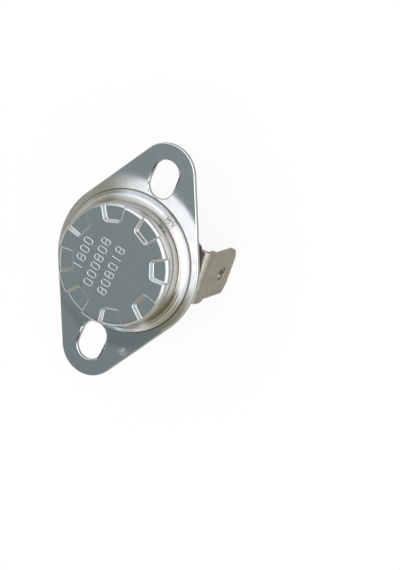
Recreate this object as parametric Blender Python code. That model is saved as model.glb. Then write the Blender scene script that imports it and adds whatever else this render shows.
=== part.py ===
"""Snap-disc bimetal thermostat with a slotted fixing bracket and two push-on tab terminals.

Units are metres. +Z runs along the cap's axis, out of the sensing face, and the origin is the
centre of that face, so everything else lies below z = 0. +X runs along the bracket's long axis.
The moulded base with its terminals and switch sits in the bracket turned by MODULE_TURN.
"""

import math

import bmesh
import bpy
from mathutils import Vector

# Fits
SEAT_GAP = 0.0001
PIN_CLEARANCE = 0.00006
ARM_ROOT_PLAY = 0.0002

# Smoothness of round shapes
ROUND_STEPS = 64
SMALL_STEPS = 24
FILLET_STEPS = 4
SAME_POINT = 1e-7

# Switch, laid out from the axis outwards
PIN_RADIUS = 0.0009
PIN_FREE_GAP = 0.00028
PIN_END_ROUND = 0.00025
PIN_CONTACT_GAP = 0.0012
CONTACT_RADIUS = 0.0011
CONTACT_HEAD = 0.00035
CONTACT_SHANK_RADIUS = 0.0005
CONTACT_TAIL_RADIUS = 0.0008
CONTACT_TAIL = 0.0002
CONTACT_INSET = 0.0004
ARM_SHEET = 0.0002
ARM_ROOT_WIDTH = 0.0034
ARM_TIP_WIDTH = 0.0024
ARM_ROOT_OVERHANG = 0.0015
ARM_TIP_OVERHANG = 0.0012
STRIP_SHEET = 0.0004
STRIP_WIDTH = 0.0032
STRIP_BEND_RADIUS = 0.0005
STRIP_ROOT_MARGIN = 0.0018
STRIP_TOP_MARGIN = 0.0013
STRIP_WALL_GAP = 0.00024

# Hollow rivets
RIVET_RADIUS = 0.0011
RIVET_BORE_RADIUS = 0.0007
RIVET_HEAD_RADIUS = 0.00165
RIVET_HEAD = 0.0003

# Moulded base
MODULE_TURN = math.radians(5.0)
BODY_WALL = 0.00095
BODY_DEPTH = 0.0070
BODY_RIM_ROUND = 0.0009
NECK_STEP = 0.0003
NECK_LIP = 0.00036
SHOULDER_LEDGE = 0.00055
SHOULDER_HEIGHT = 0.0010
BAR_WIDTH = 0.0076
BAR_HEIGHT = 0.0010
FLOOR_THICKNESS = 0.00215
ARM_BOSS_HEIGHT = 0.0019
ARM_BOSS_RADIUS = 0.0020
EJECTOR_MARK_RADIUS = 0.0007
EJECTOR_MARK_DEPTH = 0.00015

# Sensing cap
CAP_SHEET = 0.0004
CAP_EDGE_ROUND = 0.0004
RING_STEP = 0.00125
RING_HEIGHT = 0.0011
RING_ROUND = 0.0004
CRIMP_DEPTH = 0.0002
CRIMP_WIDTH = 0.00045
CRIMP_RAMP = 0.00018
CREASE_ROUND = 0.00005

# Pressed recesses round the sensing face
RECESS_COUNT = 8
RECESS_DEPTH = 0.0005
RECESS_REACH = 0.0020
RECESS_RIM_WIDTH = 0.0029
RECESS_INNER_WIDTH = 0.0018
RECESS_CORNER = 0.0003
RECESS_TURN = math.radians(24.0)

# Bimetal disc and its guide plate
DISC_SHEET = 0.0002
DISC_DISH = 0.0003
DISC_RINGS = 5
GUIDE_RIM_WIDTH = 0.0007
GUIDE_LEDGE_WIDTH = 0.0009
GUIDE_PIT_CLEARANCE = 0.0002
GUIDE_FLOOR = 0.00045
GUIDE_HUB_RADIUS = 0.0018
GUIDE_HUB_LENGTH = 0.0018

# Fixing bracket
BRACKET_SHEET = 0.0005
BRACKET_WAIST_MARGIN = 0.0010
BRACKET_EAR_MARGIN = 0.0023
BRACKET_EAR_SHIFT = 0.00064
SLOT_WIDTH = 0.0036
SLOT_LENGTH = 0.0052
SLOT_RING_GAP = 0.0002
COLLAR_HEIGHT = 0.0005

# Tab terminals
TAB_SHEET = 0.0008
TAB_WIDTH = 0.00635
TAB_LENGTH = 0.0087
TAB_OFFSET = 0.0007
TAB_STANDOFF = 0.0001
TAB_SHOULDER_WIDTH = 0.00725
TAB_SHOULDER_DROP = 0.0021
TAB_SHOULDER_ROUND = 0.0005
TAB_CORNER_CUT = 0.0012
TAB_TIP_BEVEL_LENGTH = 0.0010
TAB_TIP_THICKNESS = 0.0004
TAB_HOLE_RADIUS = 0.0009
TAB_HOLE_FROM_TIP = 0.0031
TAB_BEND_RADIUS = 0.0004
FOOT_WIDTH = 0.0056
FOOT_INNER_END = 0.0011
FOOT_CORNER = 0.0006
FOOT_FLARE_SETBACK = 0.00205
FOOT_FLARE_LENGTH = 0.0007

# How far cutters run past what they cut
OVERRUN = 0.0010

# Places and radii that follow, from the axis outwards
CONTACT_OFFSET = PIN_RADIUS + PIN_CONTACT_GAP + CONTACT_RADIUS
RIVET_OFFSET = CONTACT_OFFSET + CONTACT_INSET
STRIP_RISER_OFFSET = RIVET_OFFSET + RIVET_HEAD_RADIUS + SEAT_GAP + STRIP_SHEET
CAVITY_RADIUS = math.hypot(STRIP_RISER_OFFSET + STRIP_WALL_GAP, STRIP_WIDTH / 2.0)
BODY_RADIUS = CAVITY_RADIUS + BODY_WALL
NECK_RADIUS = BODY_RADIUS + NECK_STEP
CAP_INNER_RADIUS = NECK_RADIUS + SEAT_GAP
CAP_RADIUS = CAP_INNER_RADIUS + CAP_SHEET
RING_RADIUS = CAP_RADIUS + RING_STEP
RECESS_INNER_RADIUS = CAP_RADIUS - RECESS_REACH
BRACKET_HOLE_RADIUS = NECK_RADIUS + SEAT_GAP
COLLAR_RADIUS = BRACKET_HOLE_RADIUS + BRACKET_SHEET
SHOULDER_RADIUS = BRACKET_HOLE_RADIUS + SHOULDER_LEDGE
SLOT_SPACING = 2.0 * (RING_RADIUS + SLOT_RING_GAP) + SLOT_LENGTH
BRACKET_WAIST_RADIUS = RING_RADIUS + BRACKET_WAIST_MARGIN
BRACKET_EAR_RADIUS = SLOT_WIDTH / 2.0 + BRACKET_EAR_MARGIN
BRACKET_EAR_OFFSET = SLOT_SPACING / 2.0 + BRACKET_EAR_SHIFT
DISC_RADIUS = NECK_RADIUS - GUIDE_RIM_WIDTH - SEAT_GAP
GUIDE_LEDGE_RADIUS = DISC_RADIUS - GUIDE_LEDGE_WIDTH
TAB_FACE_RADIUS = BODY_RADIUS + TAB_STANDOFF


def disc_rise(radius):
    """Return how far the dished disc stands above its rim at a radius."""
    return DISC_DISH * (1.0 - (radius / DISC_RADIUS) ** 2)


# Levels along Z that follow, from the sensing face down. The pressed recesses hold the
# disc's rim down on the guide plate, which stands on the base's neck.
Z_PAD_UNDER = -RECESS_DEPTH - CAP_SHEET
Z_DISC_RIM_TOP = Z_PAD_UNDER - SEAT_GAP - disc_rise(RECESS_INNER_RADIUS - CAP_SHEET)
Z_DISC_RIM_UNDER = Z_DISC_RIM_TOP - DISC_SHEET
Z_GUIDE_LEDGE = Z_DISC_RIM_UNDER - SEAT_GAP
Z_GUIDE_RIM = Z_PAD_UNDER - SEAT_GAP
Z_GUIDE_PIT = Z_DISC_RIM_UNDER - DISC_DISH - GUIDE_PIT_CLEARANCE
Z_GUIDE_UNDER = Z_GUIDE_PIT - GUIDE_FLOOR
Z_NECK_TOP = Z_GUIDE_UNDER - SEAT_GAP
Z_CRIMP_TOP = Z_NECK_TOP - NECK_LIP
Z_RING_TOP = Z_CRIMP_TOP - CRIMP_WIDTH
Z_CRIMP_FOOT = Z_RING_TOP + CRIMP_RAMP * 2.0 / 3.0
Z_BRACKET_TOP = Z_RING_TOP - RING_HEIGHT
Z_RING_BOTTOM = Z_BRACKET_TOP + SEAT_GAP
Z_BRACKET_UNDER = Z_BRACKET_TOP - BRACKET_SHEET
Z_SHOULDER = Z_BRACKET_UNDER - SEAT_GAP
Z_BAR = Z_SHOULDER - BODY_DEPTH
Z_FLOOR = Z_BAR + FLOOR_THICKNESS
Z_ARM_BOSS = Z_FLOOR + ARM_BOSS_HEIGHT
Z_ARM_UNDER = Z_ARM_BOSS + ARM_ROOT_PLAY
Z_ARM_TOP = Z_ARM_UNDER + ARM_SHEET
Z_MOVING_CONTACT_TOP = Z_ARM_TOP + SEAT_GAP + CONTACT_HEAD
Z_FIXED_CONTACT_FACE = Z_MOVING_CONTACT_TOP + SEAT_GAP
Z_STRIP_TOP_UNDER = Z_FIXED_CONTACT_FACE + CONTACT_HEAD + SEAT_GAP
Z_STRIP_ROOT_UNDER = Z_FLOOR + SEAT_GAP
Z_PIN_TOP = Z_DISC_RIM_UNDER + DISC_DISH - PIN_FREE_GAP
Z_PIN_BOTTOM = Z_ARM_TOP + SEAT_GAP
Z_FOOT_TOP = Z_BAR - SEAT_GAP
Z_FOOT_UNDER = Z_FOOT_TOP - TAB_SHEET
Z_TIP = Z_FOOT_TOP - TAB_LENGTH


def clear_scene():
    """Remove every object that the open file holds."""
    for old in list(bpy.data.objects):
        bpy.data.objects.remove(old, do_unlink=True)


def make_material(name, color, roughness, metallic):
    """Return a Principled material with one colour."""
    material = bpy.data.materials.new(name)
    material.use_nodes = True
    shader = material.node_tree.nodes["Principled BSDF"]
    shader.inputs["Base Color"].default_value = (*color, 1.0)
    shader.inputs["Roughness"].default_value = roughness
    shader.inputs["Metallic"].default_value = metallic
    return material


def add_object(name, bm, material=None):
    """Turn a bmesh into an object of the scene."""
    bmesh.ops.recalc_face_normals(bm, faces=bm.faces[:])
    mesh = bpy.data.meshes.new(name)
    bm.to_mesh(mesh)
    bm.free()
    obj = bpy.data.objects.new(name, mesh)
    bpy.context.scene.collection.objects.link(obj)
    if material:
        mesh.materials.append(material)
        mesh.shade_smooth()
        mesh.set_sharp_from_angle(angle=math.radians(30.0))
    return obj


def add_empty(name, location, turn=0.0, parent=None):
    """Return an empty that carries other objects."""
    empty = bpy.data.objects.new(name, None)
    empty.location = location
    empty.rotation_euler = (0.0, 0.0, turn)
    empty.parent = parent
    bpy.context.scene.collection.objects.link(empty)
    return empty


def arc(centre, radius, start, end, steps):
    """Return points on an arc, from one angle to another, both ends included."""
    points = []
    for step in range(steps + 1):
        angle = start + (end - start) * step / steps
        points.append((centre[0] + radius * math.cos(angle), centre[1] + radius * math.sin(angle)))
    return points


def rounded(corners, steps=FILLET_STEPS):
    """Return an outline from (u, v, radius) corners, each cut by an arc of its radius."""
    points = []
    for index, (u, v, radius) in enumerate(corners):
        corner = Vector((u, v))
        before = Vector(corners[index - 1][:2])
        after = Vector(corners[(index + 1) % len(corners)][:2])
        if radius <= 0.0:
            points.append(corner)
            continue
        towards_before = (before - corner).normalized()
        towards_after = (after - corner).normalized()
        half = towards_before.angle(towards_after) / 2.0
        reach = radius / math.tan(half)
        middle = corner + (towards_before + towards_after).normalized() * (radius / math.sin(half))
        first = corner + towards_before * reach - middle
        last = corner + towards_after * reach - middle
        sweep = first.angle_signed(last)
        start = math.atan2(first.y, first.x)
        for u_arc, v_arc in arc(middle, radius, start, start - sweep, steps):
            points.append(Vector((u_arc, v_arc)))
    kept = []
    for point in points:
        if not kept or (point - kept[-1]).length > SAME_POINT:
            kept.append(point)
    if (kept[0] - kept[-1]).length < SAME_POINT:
        kept.pop()
    return [(point.x, point.y) for point in kept]


def turned(name, profile, material=None, steps=ROUND_STEPS, closed=False, centre=(0.0, 0.0)):
    """Turn a profile of (radius, z) points about a vertical axis."""
    bm = bmesh.new()
    verts = [bm.verts.new((centre[0] + radius, centre[1], z)) for radius, z in profile]
    for first, second in zip(verts, verts[1:]):
        bm.edges.new((first, second))
    if closed:
        bm.edges.new((verts[-1], verts[0]))
    bmesh.ops.spin(
        bm,
        geom=bm.verts[:] + bm.edges[:],
        cent=(centre[0], centre[1], 0.0),
        axis=(0.0, 0.0, 1.0),
        angle=math.tau,
        steps=steps,
        use_merge=True,
    )
    bmesh.ops.remove_doubles(bm, verts=bm.verts[:], dist=SAME_POINT)
    return add_object(name, bm, material)


def prism(name, outline, low, high, material=None, along="Z"):
    """Extrude an outline between two levels along Z, X or Y.

    An outline along Z is in (x, y), along X in (y, z) and along Y in (x, z).
    """
    place = {
        "Z": lambda u, v, level: (u, v, level),
        "X": lambda u, v, level: (level, u, v),
        "Y": lambda u, v, level: (u, level, v),
    }[along]
    bm = bmesh.new()
    face = bm.faces.new([bm.verts.new(place(u, v, low)) for u, v in outline])
    side = bmesh.ops.extrude_face_region(bm, geom=[face])
    moved = [item for item in side["geom"] if isinstance(item, bmesh.types.BMVert)]
    shift = Vector(place(0.0, 0.0, high)) - Vector(place(0.0, 0.0, low))
    bmesh.ops.translate(bm, verts=moved, vec=shift)
    return add_object(name, bm, material)


def drum(name, centre, radius, low, high, steps=SMALL_STEPS):
    """Return a plain round cutter that stands on a point of the XY plane."""
    profile = [(0.0, high), (radius, high), (radius, low), (0.0, low)]
    return turned(name, profile, steps=steps, centre=centre)


def block(name, low, high):
    """Return a plain box between two corners."""
    outline = [(low[0], low[1]), (high[0], low[1]), (high[0], high[1]), (low[0], high[1])]
    return prism(name, outline, low[2], high[2])


def merged(name, cutters):
    """Join several cutters that stand clear of each other into one object."""
    bm = bmesh.new()
    for cutter in cutters:
        bm.from_mesh(cutter.data)
        bpy.data.objects.remove(cutter, do_unlink=True)
    return add_object(name, bm)


def combine(target, tool, operation):
    """Cut, join or keep with a hidden second shape."""
    tool.hide_render = True
    tool.display_type = "WIRE"
    modifier = target.modifiers.new(tool.name, "BOOLEAN")
    modifier.operation = operation
    modifier.object = tool


def carry(obj, parent, anchor=(0.0, 0.0, 0.0)):
    """Hang an object, and the shapes that cut it, on an empty that stands at an anchor."""
    group = [obj] + [modifier.object for modifier in obj.modifiers if modifier.type == "BOOLEAN"]
    for member in group:
        member.parent = parent
        member.location = -Vector(anchor)


def recess_outlines(grow):
    """Return the plan of each pressed recess, larger all round by a given amount."""
    inner = RECESS_INNER_RADIUS - grow
    outer = CAP_RADIUS + OVERRUN
    flare = (RECESS_RIM_WIDTH - RECESS_INNER_WIDTH) / RECESS_REACH
    inner_half = RECESS_INNER_WIDTH / 2.0 + grow
    outer_half = inner_half + flare * (outer - inner) / 2.0
    corner = RECESS_CORNER + grow
    plan = rounded([
        (inner, -inner_half, corner), (outer, -outer_half, 0.0),
        (outer, outer_half, 0.0), (inner, inner_half, corner),
    ])
    outlines = []
    for index in range(RECESS_COUNT):
        angle = RECESS_TURN + math.tau * index / RECESS_COUNT
        cos, sin = math.cos(angle), math.sin(angle)
        outlines.append([(u * cos - v * sin, u * sin + v * cos) for u, v in plan])
    return outlines


def recess_blocks(name, grow):
    """Return the eight blocks that press the recesses into a surface."""
    blocks = []
    for outline in recess_outlines(grow):
        blocks.append(prism(name, outline, -RECESS_DEPTH - grow, OVERRUN))
    return merged(name, blocks)


def cap_profile(sheet):
    """Return the cap's outer profile, or its inner one a sheet's thickness inside."""
    wall = CAP_RADIUS - sheet
    ring = RING_RADIUS - sheet
    face = -sheet
    step = Z_RING_TOP - sheet
    edge_round = max(CAP_EDGE_ROUND - sheet, CREASE_ROUND)
    ring_round = max(RING_ROUND - sheet, CREASE_ROUND)
    bottom = Z_RING_BOTTOM - (OVERRUN if sheet else 0.0)
    quarter = math.pi / 2.0
    profile = [(0.0, face)]
    profile += arc((wall - edge_round, face - edge_round), edge_round, quarter, 0.0, FILLET_STEPS)
    profile += [
        (wall, Z_CRIMP_TOP),
        (wall - CRIMP_DEPTH, Z_CRIMP_TOP - CRIMP_RAMP),
        (wall - CRIMP_DEPTH, Z_CRIMP_FOOT),
        (wall, step),
    ]
    profile += arc((ring - ring_round, step - ring_round), ring_round, quarter, 0.0, FILLET_STEPS)
    profile += [(ring, bottom), (0.0, bottom)]
    return profile


def build_cap(material):
    """Build the drawn cap: a face with pressed recesses, a crimped wall and a step ring."""
    cap = turned("sensing_cap", cap_profile(0.0), material)
    inside = turned("cap_inside", cap_profile(CAP_SHEET))
    combine(cap, recess_blocks("recess_cutters", 0.0), "DIFFERENCE")
    combine(inside, recess_blocks("recess_pads", CAP_SHEET), "DIFFERENCE")
    combine(cap, inside, "DIFFERENCE")


def bracket_outline():
    """Return the outline that wraps the round waist and both round ears with tangent lines."""
    lean = math.acos((BRACKET_WAIST_RADIUS - BRACKET_EAR_RADIUS) / BRACKET_EAR_OFFSET)
    ear_steps = ROUND_STEPS // 3
    waist_steps = ROUND_STEPS // 4
    waist = BRACKET_WAIST_RADIUS
    ear = BRACKET_EAR_RADIUS
    points = arc((BRACKET_EAR_OFFSET, 0.0), ear, -lean, lean, ear_steps)
    points += arc((0.0, 0.0), waist, lean, math.pi - lean, waist_steps)
    points += arc((-BRACKET_EAR_OFFSET, 0.0), ear, math.pi - lean, math.pi + lean, ear_steps)
    points += arc((0.0, 0.0), waist, math.pi + lean, math.tau - lean, waist_steps)
    return points


def slot_outline(side):
    """Return the plan of one fixing slot, which runs along the bracket."""
    centre = side * SLOT_SPACING / 2.0
    half_length = SLOT_LENGTH / 2.0
    half_width = SLOT_WIDTH / 2.0
    return rounded([
        (centre - half_length, -half_width, half_width), (centre + half_length, -half_width, half_width),
        (centre + half_length, half_width, half_width), (centre - half_length, half_width, half_width),
    ], steps=SMALL_STEPS // 4)


def build_bracket(material):
    """Build the stamped bracket with its drawn centre collar and two slots."""
    bracket = prism("mounting_bracket", bracket_outline(), Z_BRACKET_UNDER, Z_BRACKET_TOP, material)
    collar_foot = (Z_BRACKET_TOP + Z_BRACKET_UNDER) / 2.0
    collar = drum("bracket_collar", (0.0, 0.0), COLLAR_RADIUS, collar_foot,
                  Z_BRACKET_TOP + COLLAR_HEIGHT, ROUND_STEPS)
    combine(bracket, collar, "UNION")
    hole = drum("bracket_hole", (0.0, 0.0), BRACKET_HOLE_RADIUS, Z_BRACKET_UNDER - OVERRUN,
                Z_BRACKET_TOP + COLLAR_HEIGHT + OVERRUN, ROUND_STEPS)
    slots = []
    for side in (-1.0, 1.0):
        slots.append(prism("slot", slot_outline(side), Z_BRACKET_UNDER - OVERRUN,
                           Z_BRACKET_TOP + OVERRUN))
    combine(bracket, hole, "DIFFERENCE")
    combine(bracket, merged("slot_cutters", slots), "DIFFERENCE")


def base_profile():
    """Return the moulded base's outer profile, from the neck's top down to the bar."""
    groove = NECK_RADIUS - CRIMP_DEPTH - SEAT_GAP
    half_pi = math.pi / 2.0
    profile = [
        (0.0, Z_NECK_TOP),
        (NECK_RADIUS, Z_NECK_TOP),
        (NECK_RADIUS, Z_CRIMP_TOP + SEAT_GAP),
        (groove, Z_CRIMP_TOP - CRIMP_RAMP + SEAT_GAP),
        (groove, Z_RING_TOP),
        (NECK_RADIUS, Z_RING_TOP - CAP_SHEET - SEAT_GAP),
        (NECK_RADIUS, Z_SHOULDER),
        (SHOULDER_RADIUS, Z_SHOULDER),
        (SHOULDER_RADIUS, Z_SHOULDER - SHOULDER_HEIGHT),
        (BODY_RADIUS, Z_SHOULDER - SHOULDER_HEIGHT),
    ]
    rim = (BODY_RADIUS - BODY_RIM_ROUND, Z_BAR + BODY_RIM_ROUND)
    profile += arc(rim, BODY_RIM_ROUND, 0.0, -half_pi, FILLET_STEPS)
    profile.append((0.0, Z_BAR))
    return profile


def build_base(material, module):
    """Build the moulded base with its switch cavity, arm boss, cross bar and rivet holes."""
    base = turned("base_body", base_profile(), material)
    cavity = drum("cavity", (0.0, 0.0), CAVITY_RADIUS, Z_FLOOR, Z_NECK_TOP + OVERRUN, ROUND_STEPS)
    combine(base, cavity, "DIFFERENCE")
    boss = drum("arm_boss", (0.0, -RIVET_OFFSET), ARM_BOSS_RADIUS, Z_FLOOR - OVERRUN / 2.0, Z_ARM_BOSS)
    combine(base, boss, "UNION")
    reach = BODY_RADIUS + OVERRUN
    z_low = Z_BAR - OVERRUN
    z_high = Z_BAR + BAR_HEIGHT
    half_bar = BAR_WIDTH / 2.0
    segments = [
        block("segment", (half_bar, -reach, z_low), (reach, reach, z_high)),
        block("segment", (-reach, -reach, z_low), (-half_bar, reach, z_high)),
    ]
    combine(base, merged("side_segments", segments), "DIFFERENCE")
    holes = []
    for side in (-1.0, 1.0):
        holes.append(drum("hole", (0.0, side * RIVET_OFFSET), RIVET_RADIUS + SEAT_GAP,
                          z_low, Z_ARM_BOSS + OVERRUN))
        holes.append(drum("mark", (side * (half_bar + BODY_RADIUS) / 2.0, 0.0), EJECTOR_MARK_RADIUS,
                          z_low, z_high + EJECTOR_MARK_DEPTH))
    combine(base, merged("base_holes", holes), "DIFFERENCE")
    carry(base, module)


def build_disc(material, module):
    """Build the dished bimetal disc, shown cold with its centre up."""
    top = []
    for ring in range(DISC_RINGS + 1):
        radius = DISC_RADIUS * ring / DISC_RINGS
        top.append((radius, Z_DISC_RIM_TOP + disc_rise(radius)))
    under = [(radius, z - DISC_SHEET) for radius, z in reversed(top)]
    disc = turned("bimetal_disc", top + under, material, steps=ROUND_STEPS // 2)
    carry(disc, module)


def build_guide_plate(material, module):
    """Build the plate that seats the disc's rim and guides the pin through its hub."""
    bore = PIN_RADIUS + PIN_CLEARANCE
    hub_bottom = Z_GUIDE_UNDER - GUIDE_HUB_LENGTH
    well = DISC_RADIUS + SEAT_GAP
    profile = [
        (bore, Z_GUIDE_PIT), (GUIDE_LEDGE_RADIUS, Z_GUIDE_PIT), (GUIDE_LEDGE_RADIUS, Z_GUIDE_LEDGE),
        (well, Z_GUIDE_LEDGE), (well, Z_GUIDE_RIM), (NECK_RADIUS, Z_GUIDE_RIM),
        (NECK_RADIUS, Z_GUIDE_UNDER), (GUIDE_HUB_RADIUS, Z_GUIDE_UNDER),
        (GUIDE_HUB_RADIUS, hub_bottom), (bore, hub_bottom),
    ]
    plate = turned("guide_plate", profile, material, steps=ROUND_STEPS // 2, closed=True)
    carry(plate, module)


def build_pin(material, module):
    """Build the ceramic pin that carries the disc's snap to the contact arm."""
    shank = PIN_RADIUS - PIN_END_ROUND
    half_pi = math.pi / 2.0
    profile = [(0.0, Z_PIN_TOP)]
    profile += arc((shank, Z_PIN_TOP - PIN_END_ROUND), PIN_END_ROUND, half_pi, 0.0, FILLET_STEPS)
    profile += arc((shank, Z_PIN_BOTTOM + PIN_END_ROUND), PIN_END_ROUND, 0.0, -half_pi, FILLET_STEPS)
    profile.append((0.0, Z_PIN_BOTTOM))
    pin = turned("transfer_pin", profile, material, steps=SMALL_STEPS)
    carry(pin, module)


def build_arm(material, pivot, anchor):
    """Build the leaf that holds the moving contact, from its riveted root to its tip."""
    root = -RIVET_OFFSET - ARM_ROOT_OVERHANG
    tip = CONTACT_OFFSET + ARM_TIP_OVERHANG
    half_root = ARM_ROOT_WIDTH / 2.0
    half_tip = ARM_TIP_WIDTH / 2.0
    taper = -RIVET_OFFSET + ARM_ROOT_OVERHANG
    outline = rounded([
        (-half_root, root, half_root / 2.0), (half_root, root, half_root / 2.0), (half_root, taper, 0.0),
        (half_tip, 0.0, 0.0), (half_tip, tip, half_tip / 2.0), (-half_tip, tip, half_tip / 2.0),
        (-half_tip, 0.0, 0.0), (-half_root, taper, 0.0),
    ])
    arm = prism("contact_arm", outline, Z_ARM_UNDER, Z_ARM_TOP, material)
    holes = []
    for offset, radius in ((-RIVET_OFFSET, RIVET_RADIUS), (CONTACT_OFFSET, CONTACT_SHANK_RADIUS)):
        holes.append(drum("hole", (0.0, offset), radius + SEAT_GAP, Z_ARM_UNDER - OVERRUN,
                          Z_ARM_TOP + OVERRUN))
    combine(arm, merged("arm_holes", holes), "DIFFERENCE")
    carry(arm, pivot, anchor)


def contact_button(name, face, seat, far, material):
    """Build a contact button: a head from its face to its seat, a shank and a tail past the sheet.

    face, seat and far are levels along Z. far is the side of the sheet away from the head.
    """
    away = 1.0 if far > seat else -1.0
    tail = far + away * SEAT_GAP
    end = tail + away * CONTACT_TAIL
    profile = [
        (0.0, face), (CONTACT_RADIUS, face), (CONTACT_RADIUS, seat), (CONTACT_SHANK_RADIUS, seat),
        (CONTACT_SHANK_RADIUS, tail), (CONTACT_TAIL_RADIUS, tail), (CONTACT_TAIL_RADIUS, end), (0.0, end),
    ]
    return turned(name, profile, material, steps=SMALL_STEPS, centre=(0.0, CONTACT_OFFSET))


def build_contacts(material, module, pivot, anchor):
    """Build the silver buttons, one on the arm and one under the fixed strip."""
    moving = contact_button("moving_contact", Z_MOVING_CONTACT_TOP, Z_ARM_TOP + SEAT_GAP,
                            Z_ARM_UNDER, material)
    carry(moving, pivot, anchor)
    strip_top = Z_STRIP_TOP_UNDER + STRIP_SHEET
    fixed = contact_button("fixed_contact", Z_FIXED_CONTACT_FACE, Z_STRIP_TOP_UNDER - SEAT_GAP,
                           strip_top, material)
    carry(fixed, module)


def build_strip(material, module):
    """Build the folded strip that holds the fixed contact over the arm's tip."""
    low = Z_STRIP_ROOT_UNDER
    high = Z_STRIP_TOP_UNDER + STRIP_SHEET
    outer = STRIP_RISER_OFFSET
    inner = outer - STRIP_SHEET
    bend = STRIP_BEND_RADIUS
    crease = bend - STRIP_SHEET
    root_end = RIVET_OFFSET - STRIP_ROOT_MARGIN
    top_end = CONTACT_OFFSET - STRIP_TOP_MARGIN
    outline = rounded([
        (root_end, low, 0.0), (outer, low, bend), (outer, high, bend), (top_end, high, 0.0),
        (top_end, high - STRIP_SHEET, 0.0), (inner, high - STRIP_SHEET, crease),
        (inner, low + STRIP_SHEET, crease), (root_end, low + STRIP_SHEET, 0.0),
    ])
    half = STRIP_WIDTH / 2.0
    strip = prism("fixed_contact_strip", outline, -half, half, material, along="X")
    middle = (low + high) / 2.0
    holes = [
        drum("hole", (0.0, RIVET_OFFSET), RIVET_RADIUS + SEAT_GAP, low - OVERRUN, middle),
        drum("hole", (0.0, CONTACT_OFFSET), CONTACT_SHANK_RADIUS + SEAT_GAP, middle + SEAT_GAP,
             high + OVERRUN),
    ]
    combine(strip, merged("strip_holes", holes), "DIFFERENCE")
    carry(strip, module)


def tab_side_profile():
    """Return the terminal's folded section in (y, z): foot, bend, blade and bevelled tip."""
    out = -TAB_FACE_RADIUS
    inside = out + TAB_SHEET
    bevel = (TAB_SHEET - TAB_TIP_THICKNESS) / 2.0
    z_bevel = Z_TIP + TAB_TIP_BEVEL_LENGTH
    outer_bend = TAB_BEND_RADIUS + TAB_SHEET
    return rounded([
        (-FOOT_INNER_END, Z_FOOT_TOP, 0.0), (out, Z_FOOT_TOP, outer_bend), (out, z_bevel, 0.0),
        (out + bevel, Z_TIP, 0.0), (inside - bevel, Z_TIP, 0.0), (inside, z_bevel, 0.0),
        (inside, Z_FOOT_UNDER, TAB_BEND_RADIUS), (-FOOT_INNER_END, Z_FOOT_UNDER, 0.0),
    ], steps=2 * FILLET_STEPS)


def tab_front_outline():
    """Return the terminal's outline in (x, z), seen square on to the blade."""
    blade = TAB_WIDTH / 2.0
    shoulder = TAB_SHOULDER_WIDTH / 2.0
    cut = TAB_CORNER_CUT
    z_top = Z_FOOT_TOP + OVERRUN
    z_shoulder = Z_FOOT_TOP - TAB_SHOULDER_DROP
    soft = TAB_SHOULDER_ROUND
    centre = -TAB_OFFSET
    step = shoulder - blade
    half_outline = [
        (blade - cut, Z_TIP - OVERRUN, 0.0), (blade - cut, Z_TIP, 0.0), (blade, Z_TIP + cut, 0.0),
        (blade, z_shoulder - step, soft), (shoulder, z_shoulder, soft), (shoulder, z_top, 0.0),
    ]
    corners = [(centre + x, z, radius) for x, z, radius in half_outline]
    corners += [(centre - x, z, radius) for x, z, radius in reversed(half_outline)]
    return rounded(corners)


def tab_plan_outline():
    """Return the terminal's outline in (x, y), seen along the blade, with its narrower foot."""
    foot = FOOT_WIDTH / 2.0
    shoulder = TAB_SHOULDER_WIDTH / 2.0 + OVERRUN
    far = -TAB_FACE_RADIUS - OVERRUN
    near = -FOOT_INNER_END
    flare = FOOT_FLARE_SETBACK - TAB_FACE_RADIUS
    wide = flare - FOOT_FLARE_LENGTH
    centre = -TAB_OFFSET
    return rounded([
        (-foot, near, FOOT_CORNER), (-foot, flare, 0.0), (centre - shoulder, wide, 0.0),
        (centre - shoulder, far, 0.0), (centre + shoulder, far, 0.0),
        (centre + shoulder, wide, 0.0), (foot, flare, 0.0), (foot, near, FOOT_CORNER),
    ])


def build_terminal(name, turn, material, module):
    """Build one folded tab terminal, turned about the axis to its side of the base."""
    reach = TAB_SHOULDER_WIDTH / 2.0 + TAB_OFFSET
    tab = prism(name, tab_side_profile(), -reach, reach, material, along="X")
    front = prism(name + "_front", tab_front_outline(), -TAB_FACE_RADIUS - OVERRUN, OVERRUN, along="Y")
    plan = prism(name + "_plan", tab_plan_outline(), Z_TIP - OVERRUN, Z_FOOT_TOP + OVERRUN)
    combine(tab, front, "INTERSECT")
    combine(tab, plan, "INTERSECT")
    rivet_hole = drum(name + "_rivet_hole", (0.0, -RIVET_OFFSET), RIVET_RADIUS + SEAT_GAP,
                      Z_FOOT_UNDER - OVERRUN, Z_FOOT_TOP + OVERRUN)
    combine(tab, rivet_hole, "DIFFERENCE")
    hole_outline = arc((-TAB_OFFSET, Z_TIP + TAB_HOLE_FROM_TIP), TAB_HOLE_RADIUS, 0.0,
                       math.tau * (SMALL_STEPS - 1) / SMALL_STEPS, SMALL_STEPS - 1)
    tab_hole = prism(name + "_tab_hole", hole_outline, -TAB_FACE_RADIUS - OVERRUN,
                     -TAB_FACE_RADIUS + TAB_SHEET + OVERRUN, along="Y")
    combine(tab, tab_hole, "DIFFERENCE")
    carry(tab, add_empty(name + "_place", (0.0, 0.0, 0.0), turn, module))


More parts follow.
